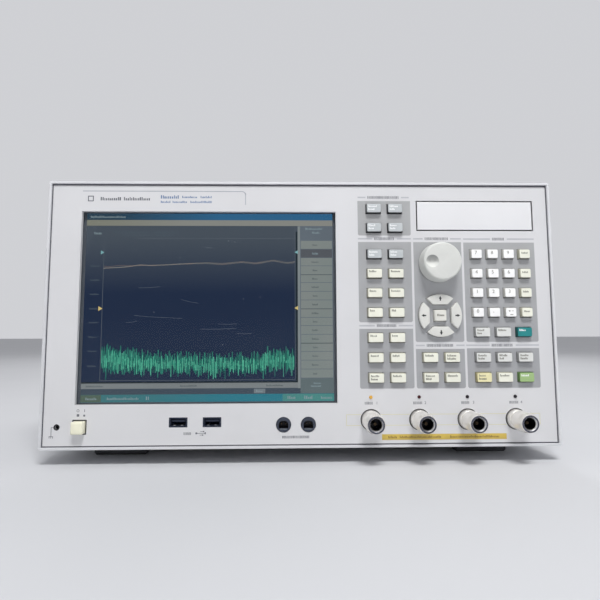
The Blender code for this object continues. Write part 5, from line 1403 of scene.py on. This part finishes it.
shell_steel = finish_of(
    "shell_steel", tone(196, 197, 200), 0.27, 1.0, mottle=0.05, mottle_size=0.01, grain=0.05
)
board_green = finish_of("board_green", tone(38, 92, 62), 0.45, mottle=0.08, mottle_size=0.01, grain=0.1)
black_plastic = finish_of("black_plastic", tone(20, 21, 24), 0.45, mottle=0.08, grain=0.1)
# The shells take a dark blue-grey steel: painted shade.
shell_painted_shade = finish_of(
    "shell_painted_shade", tone(62, 68, 84), 0.35, 0.8, mottle=0.05, mottle_size=0.01, grain=0.05
)
socket_plastic = finish_of("socket_plastic", tone(24, 34, 56), 0.5, mottle=0.08, grain=0.1)
SOCKET_Z = 21.0
socket_parts = []
for number, x in enumerate((111.2, 138.6)):
    shell = panel_block(f"socket_shell_{number}", x, SOCKET_Z, 13.3, 6.6, -199.55, -182.55)
    round_corners(shell, 0.7, 3)
    carve(shell, panel_block("cavity", x, SOCKET_Z, 12.3, 5.6, -201.0, -187.55))
    shell.data.materials.append(shell_painted_shade)
    back = panel_block("socket_back", x, SOCKET_Z, 12.2, 5.5, -188.4, -187.6)
    lining = panel_block("lining", x, SOCKET_Z, 12.2, 5.5, -196.5, -187.6)
    carve(lining, panel_block("lining_hole", x, SOCKET_Z, 11.2, 4.6, -198.0, -188.5))
    tongue = panel_block("tongue", x, SOCKET_Z + 1.2, 10.6, 1.8, -198.9, -187.7)
    insulator = join("insulator", [lining, soften(tongue, 0.2 * MM), back])
    insulator.data.materials.append(socket_plastic)
    edge = square_shade_line(f"socket_seam_{number}", x, SOCKET_Z, (15.0, 7.9), (13.2, 6.5))
    fit(edge, socket_plastic)
    tabs = []
    for side in (-3.0, 3.0):
        tab = panel_block("tab", x + side, SOCKET_Z - 2.4, 1.8, 0.6, -199.4, -190.0)
        tabs.append(soften(tab, 0.2 * MM))
    tabs = join("tabs", tabs)
    tabs.data.materials.append(shell_steel)
    socket_parts += [shell, insulator, tabs]
board = start_block("socket_board", panel(100.55, 16.35, -194.85), panel(149.25, 17.65, -178.55))
board.data.materials.append(board_green)
socket_parts.append(soften(board, 0.15 * MM))
fit(join("data_sockets", socket_parts), None, "root", ["data_socket_board"])

# Probe power sockets: turned grey barrels on a small board. Each has a black insert with a flat-bottomed
# opening, two contact pins and a pale key bar under the opening.

barrel_grey = finish_of("barrel_grey", tone(54, 60, 74), 0.42, mottle=0.06, mottle_size=0.006, grain=0.08)
key_bar = finish_of("key_bar", tone(104, 110, 116), 0.4, mottle=0.05, grain=0.05)
PROBE_Z = 18.5
probe_parts = []
for number, x in enumerate((196.8, 217.1)):
    ring_edge = [(6.0, -186.35), (6.0, -199.9), (5.75, -200.25), (5.3, -200.35), (5.0, -200.2)]
    barrel = turned(f"probe_barrel_{number}", x, PROBE_Z, ring_edge, 48)
    mouth = panel_block("mouth", x, PROBE_Z + 0.2, 7.8, 6.0, -202.0, -193.3)
    level = panel(x, PROBE_Z).z
    pick(
        mouth,
        lambda edge: abs(edge.verts[0].co.y - edge.verts[1].co.y) > MM and edge.verts[0].co.z > level,
        "EDGE",
    )
    bpy.ops.mesh.bevel(offset=2.9 * MM, segments=8)
    close(mouth)
    carve(barrel, mouth)
    barrel.data.materials.append(barrel_grey)
    coat(
        barrel,
        black_plastic,
        lambda face: -200.1 * MM < face.calc_center_median().y < -193.0 * MM
        and from_axis(face.calc_center_median(), x, PROBE_Z) < 4.6,
    )
    profile = [(0.5, -193.2), (0.5, -196.6), (0.3, -196.9)]
    pins = [turned("probe_pin", x + side, PROBE_Z + 0.4, profile, 16) for side in (-1.6, 1.6)]
    pins = join("probe_pins", pins)
    # The pins take a darkened gold: painted shade in the opening.
    pins.data.materials.append(contact_in_shade)
    bar = soften(panel_block("bar", x, PROBE_Z - 3.5, 5.2, 0.8, -200.3, -198.8), 0.15 * MM)
    bar.data.materials.append(key_bar)
    probe_parts += [barrel, pins, bar]
board = start_block("probe_board", panel(187.8, 9.5, -186.65), panel(226.1, 25.2, -185.05))
board.data.materials.append(board_green)
probe_parts.append(soften(board, 0.15 * MM))
fit(join("probe_power_sockets", probe_parts), None, "root", ["probe_power_board"])

# Ground jack: a plain banana socket. Its nickel bore, painted dark as the shade in its hole, is all that
# shows through the panel, inside a thin dark ring of painted shade.

nickel_painted_shade = finish_of("nickel_painted_shade", tone(60, 60, 64), 0.4, 0.9, mottle=0.06, grain=0.04)
keep_solid(nickel_painted_shade, "nickel", "ground_jack")
low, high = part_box("ground_jack")
JACK_X, JACK_Z = (low[0] + high[0]) / 2 / MM + HALF, (low[2] + high[2]) / 2 / MM - BASE
fit(round_shade_ring("jack_shade_ring", JACK_X, JACK_Z, 2.45, 1.5, 40), hole_shade_paint)

# Outer cover: a sleeve of painted sheet steel with ventilation slots, held to the chassis by screws
# with crossed recesses along its lower edges.

SIDE = HALF - 0.8
cover_paint = finish_of(
    "cover_paint", tone(178, 180, 184), 0.55, mottle=0.025, mottle_size=0.06, grain=0.35, grain_size=0.0011
)
keep_solid(cover_paint, "cover_paint", "outer_cover", "rear_panel")
zinc = finish_of("zinc_sheet", tone(176, 178, 180), 0.42, 0.9, mottle=0.1, mottle_size=0.02, grain=0.08)
keep_solid(zinc, "chassis_zinc", "chassis", "power_supply")
keep_solid(sheet_steel, "bright_sheet", "rf_test_set")
keep_solid(dark_plastic, "dark_plastic", "fan_housing", "fan_rotor", "mains_inlet")
keep_solid(board_green, "circuit_board", "key_board")
screw_steel = finish_of(
    "screw_steel", tone(150, 151, 154), 0.32, 1.0, mottle=0.1, mottle_size=0.004, grain=0.05
)


def screw(name, radius=2.9, height=1.1):
    """A domed screw head with a crossed recess that looks along +Y, at the origin."""
    made = circle(name, (0, 0, 0), radius)
    pick(made, everything)
    for share, rise in ((0.97, 0.45), (0.86, 0.33), (0.55, 0.22)):
        bpy.ops.mesh.extrude_region_move(TRANSFORM_OT_translate={"value": (0, rise * height * MM, 0)})
        bpy.ops.transform.resize(value=(share, 1.0, share), center_override=(0, 0, 0))
    bpy.ops.mesh.select_all(action="SELECT")
    bpy.ops.mesh.normals_make_consistent(inside=False)
    close(made)
    long, short = 0.58 * radius, 0.13 * radius
    for wide, tall in ((long, short), (short, long)):
        low, high = at(-wide, 0.45 * height, -tall), at(wide, height + 2, tall)
        carve(made, start_block("recess", low, high))
    bpy.ops.object.shade_smooth_by_angle(angle=math.radians(35))
    made.data.materials.append(screw_steel)
    return made


def placed(pattern, name, x, y, z, turn=0.0):
    """A copy of a screw with its head's foot at a point; turn spins it so that it looks another way."""
    made = copy_of(pattern, name, (0, 0, 0))
    made.data.transform(Matrix.Translation(at(x, y, z)) @ Matrix.Rotation(math.radians(turn), 4, "Z"))
    return made


REAR_Y = 194.15
pattern = screw("screw_pattern")
side_screws = []
for side in (-1, 1):
    for y in (-150.0, -60.0, 60.0, 172.0):
        side_screws.append(placed(pattern, "side_screw", side * (SIDE - 0.05), y, BASE + 12.0, -90 * side))
fit(join("cover_screws", side_screws), None)
top_screws = []
for x in (-190.0, -60.0, 60.0, 190.0):
    made = copy_of(pattern, "top_screw", (0, 0, 0))
    lift = Matrix.Translation(at(x, 186.5, BASE + HEIGHT - 0.8 - 0.75))
    made.data.transform(lift @ Matrix.Rotation(math.pi / 2, 4, "X"))
    top_screws.append(made)
fit(join("top_screws", top_screws), None)
rear_screws = []
for x in (-196.0, -120.0, -20.0, 32.0, 196.0):
    for z in (BASE + 54.0, BASE + 166.0):
        rear_screws.append(placed(pattern, "rear_screw", x, REAR_Y, z))
fit(join("rear_screws", rear_screws), None)
FAN_X, FAN_Z = HALF - 125.0, BASE + 148.0
fan_screws = []
for side in (-1, 1):
    for level in (-1, 1):
        fan_screws.append(placed(pattern, "fan_screw", FAN_X + side * 41.2, REAR_Y, FAN_Z + level * 41.2))
fit(join("fan_screws", fan_screws), None)

# Carrying straps: bands of moulded vinyl that bow out a little, held at each end by a metal cap under
# a screw.

strap_vinyl = finish_of(
    "strap_vinyl", tone(96, 99, 104), 0.55, mottle=0.05, mottle_size=0.01, grain=0.3, grain_size=0.0008
)
cap_metal = finish_of("cap_metal", tone(150, 152, 156), 0.35, 0.9, mottle=0.06, mottle_size=0.01, grain=0.06)
STRAP_Z = BASE + 170.0
STRAP_START = RIM_FRONT + 92.0
for side, word in ((-1, "left"), (1, "right")):
    face = SIDE + 0.3
    band = start_block(
        f"strap_{word}",
        at(min(side * (face + 0.5), side * (face + 2.3)), STRAP_START + 2.0, STRAP_Z - 11.8),
        at(max(side * (face + 0.5), side * (face + 2.3)), STRAP_START + 238.0, STRAP_Z + 11.8),
    )
    pick(band, everything)
    for step in range(1, 24):
        bpy.ops.mesh.select_all(action="SELECT")
        bpy.ops.mesh.bisect(plane_co=at(0, STRAP_START + 10.0 * step, 0), plane_no=(0, 1, 0))
    close(band)
    soften(band, 0.6 * MM, 3)
    pick(band, lambda part: abs(part.calc_center_median().y / MM - STRAP_START - 120.0) < 9.0)
    bpy.ops.transform.translate(
        value=at(side * 1.35, 0, 0),
        use_proportional_edit=True,
        proportional_edit_falloff="SMOOTH",
        proportional_size=0.112,
    )
    close(band)
    band.data.materials.append(strap_vinyl)
    pieces = [band]
    for y in (STRAP_START + 17.0, STRAP_START + 223.0):
        low = at(min(side * (face - 0.25), side * (face + 2.35)), y - 16.5, STRAP_Z - 11.9)
        high = at(max(side * (face - 0.25), side * (face + 2.35)), y + 16.5, STRAP_Z + 11.9)
        cap = start_block("strap_cap", low, high)
        cap.data.materials.append(cap_metal)
        pieces.append(soften(cap, 0.7 * MM, 3))
        pieces.append(placed(pattern, "strap_screw", side * (face + 2.3), y, STRAP_Z, -90 * side))
    fit(join(f"strap_{word}_band", pieces), None, "root", [f"carrying_strap_{word}"])

# Rear panel: blank labels, the edge of the mains inlet with its three blades, and the rims, tongues and
# pins of the sockets that reach through it.

label_white = finish_of("label_white", tone(224, 225, 226), 0.5, mottle=0.02, mottle_size=0.01, grain=0.02)
label_grey = finish_of("label_grey", tone(120, 122, 126), 0.55, mottle=0.04, mottle_size=0.006, grain=0.0)
labels = []
for left, bottom, right, top in (
    (-190, 150, -127, 190),
    (-105, 120, -40, 140),
    (-60, 176, 10, 190),
    (60, 62, 150, 70),
):
    low = at(left, REAR_Y - 0.02, BASE + bottom)
    plate = start_block("label", low, at(right, REAR_Y + 0.14, BASE + top))
    labels.append(soften(plate, 0.06 * MM, 2))
fit(join("rear_labels", labels), label_white)
lines = []
for left, right, top, count in (
    (-186, -131, 185, 7),
    (-101, -46, 136.5, 3),
    (-56, 4, 186, 2),
    (64, 146, 67.6, 1),
):
    for row in range(count):
        middle, length = (left + right) / 2, (right - left) * (0.98 - 0.13 * (row % 3))
        low = at(middle - length / 2, REAR_Y + 0.13, BASE + top - 5.0 * row - 1.1)
        high = at(middle + length / 2, REAR_Y + 0.17, BASE + top - 5.0 * row)
        bar = start_block("label_line", low, high)
        lines.append(soften(bar, 0.01 * MM, 1))
fit(join("rear_label_lines", lines), label_grey)

INLET_X, INLET_Z = -HALF + 60.0, BASE + 45.0
blades = []
for x, z, wide, tall in ((-7.0, -1.5, 4.0, 2.0), (7.0, -1.5, 4.0, 2.0), (0.0, 3.4, 4.0, 2.0)):
    low = at(INLET_X + x - tall / 2, 181.5, INLET_Z + z - wide / 2)
    high = at(INLET_X + x + tall / 2, 194.4, INLET_Z + z + wide / 2)
    blades.append(soften(start_block("blade", low, high), 0.3 * MM))
fit(join("inlet_blades", blades), shell_steel)
inlet_screws = [placed(pattern, "inlet_screw", INLET_X + side * 17.0, 196.5, INLET_Z) for side in (-1, 1)]
fit(join("inlet_screws", inlet_screws), None)

SOCKET_FLOOR = BASE + 0.8 + 1.2 + 0.8 + 1.5 + 1.5 + 6.0 + 1.6
right = HALF - (0.8 + 34.0 + 9.0)
low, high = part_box("main_board")
floor = at(0, 0, SOCKET_FLOOR)[2]
board = start_block("main_board", (low[0], low[1], at(0, 0, SOCKET_FLOOR - 1.6)[2]), (high[0], 0.1906, floor))
board.data.materials.append(board_green)
faces = [soften(board, 0.15 * MM)]
rear_sizes = ((16.0, 13.5), (14.5, 15.6), (31.0, 12.5), (53.0, 12.5), (60.0, 15.0))
for number, (width, height) in enumerate(rear_sizes):
    left = right - width
    low, high = at(left, 176.0, SOCKET_FLOOR - 0.35), at(right, 199.1, SOCKET_FLOOR + height - 0.02)
    shell = start_block(f"rear_socket_{number}", low, high)
    round_corners(shell, 0.8, 3)
    middle = SOCKET_FLOOR + height / 2
    low, high = at(left + 1.1, 190.0, SOCKET_FLOOR + 1.0), at(right - 1.1, 205.0, SOCKET_FLOOR + height - 1.2)
    carve(shell, start_block("socket_mouth", low, high))
    soften(shell, 0.15 * MM)
    shell.data.materials.append(shell_steel)
    low, high = at(left + 1.9, 189.8, middle - 0.16 * height), at(right - 1.9, 197.6, middle + 0.16 * height)
    core = soften(start_block("socket_core", low, high), 0.3 * MM)
    core.data.materials.append(black_plastic)
    low, high = at(left + 1.0, 189.6, SOCKET_FLOOR + 0.9), at(right - 1.0, 190.4, SOCKET_FLOOR + height - 1.1)
    base = start_block("socket_base", low, high)
    base.data.materials.append(black_plastic)
    contacts = []
    for i in range(int((width - 6) / 2.4)):
        x = left + 3.4 + 2.4 * i
        low, high = at(x, 190.0, middle + 0.14 * height), at(x + 1.0, 197.2, middle + 0.18 * height)
        contacts.append(start_block("contact", low, high))
    contacts = soften(join("contacts", contacts), 0.05 * MM, 1)
    contacts.data.materials.append(contact_gold)
    faces += [shell, core, base, contacts]
    right = left - 9.0
fit(join("rear_sockets", faces), None, "root", ["main_board"])
bpy.data.objects.remove(pattern)

# Feet: moulded rubber under the cover, the front pair forked for the tilt legs, and four corner feet
# behind the rear panel with a cord channel across each.

foot_rubber = finish_of(
    "foot_rubber", tone(52, 53, 56), 0.75, mottle=0.06, mottle_size=0.01, grain=0.3, grain_size=0.0008
)
keep_solid(foot_rubber, "foot_rubber", "foot_front_left", "foot_front_right")
keep_solid(foot_rubber, "foot_rubber", "foot_rear_left", "foot_rear_right")
leg_plastic = finish_of("leg_plastic", tone(62, 64, 68), 0.5, mottle=0.05, grain=0.15)
keep_solid(leg_plastic, "dark_plastic", "tilt_leg_left", "tilt_leg_right")
corner_plastic = finish_of("corner_plastic", tone(66, 68, 73), 0.55, mottle=0.05, grain=0.3, grain_size=0.001)
LOW, HIGH = BASE + 0.8, BASE + HEIGHT - 0.8
for side, word in ((-1, "left"), (1, "right")):
    for level, z in (("lower", LOW), ("upper", HIGH - 34.0)):
        x_low, x_high = sorted((side * SIDE, side * (SIDE - 34.0)))
        foot = start_block(f"corner_{level}_{word}", at(x_low, 194.45, z), at(x_high, 221.85, z + 34.0))
        soften(foot, 2.0 * MM, 4)
        slot_low, slot_high = sorted((side * (SIDE - 6.0), side * (SIDE + 9.0)))
        slot = start_block("channel", at(slot_low, 204.5, z - 9.0), at(slot_high, 213.5, z + 43.0))
        carve(foot, soften(slot, 1.5 * MM, 3))
        end = z - 9.0 if level == "lower" else z + 28.0
        slot = start_block("channel", at(x_low - 9.0, 204.5, end), at(x_high + 9.0, 213.5, end + 15.0))
        carve(foot, soften(slot, 1.5 * MM, 3))
        soften(foot, 0.3 * MM, 2, 50)
        fit(foot, corner_plastic, "root", [f"rear_foot_{level}_{word}"])
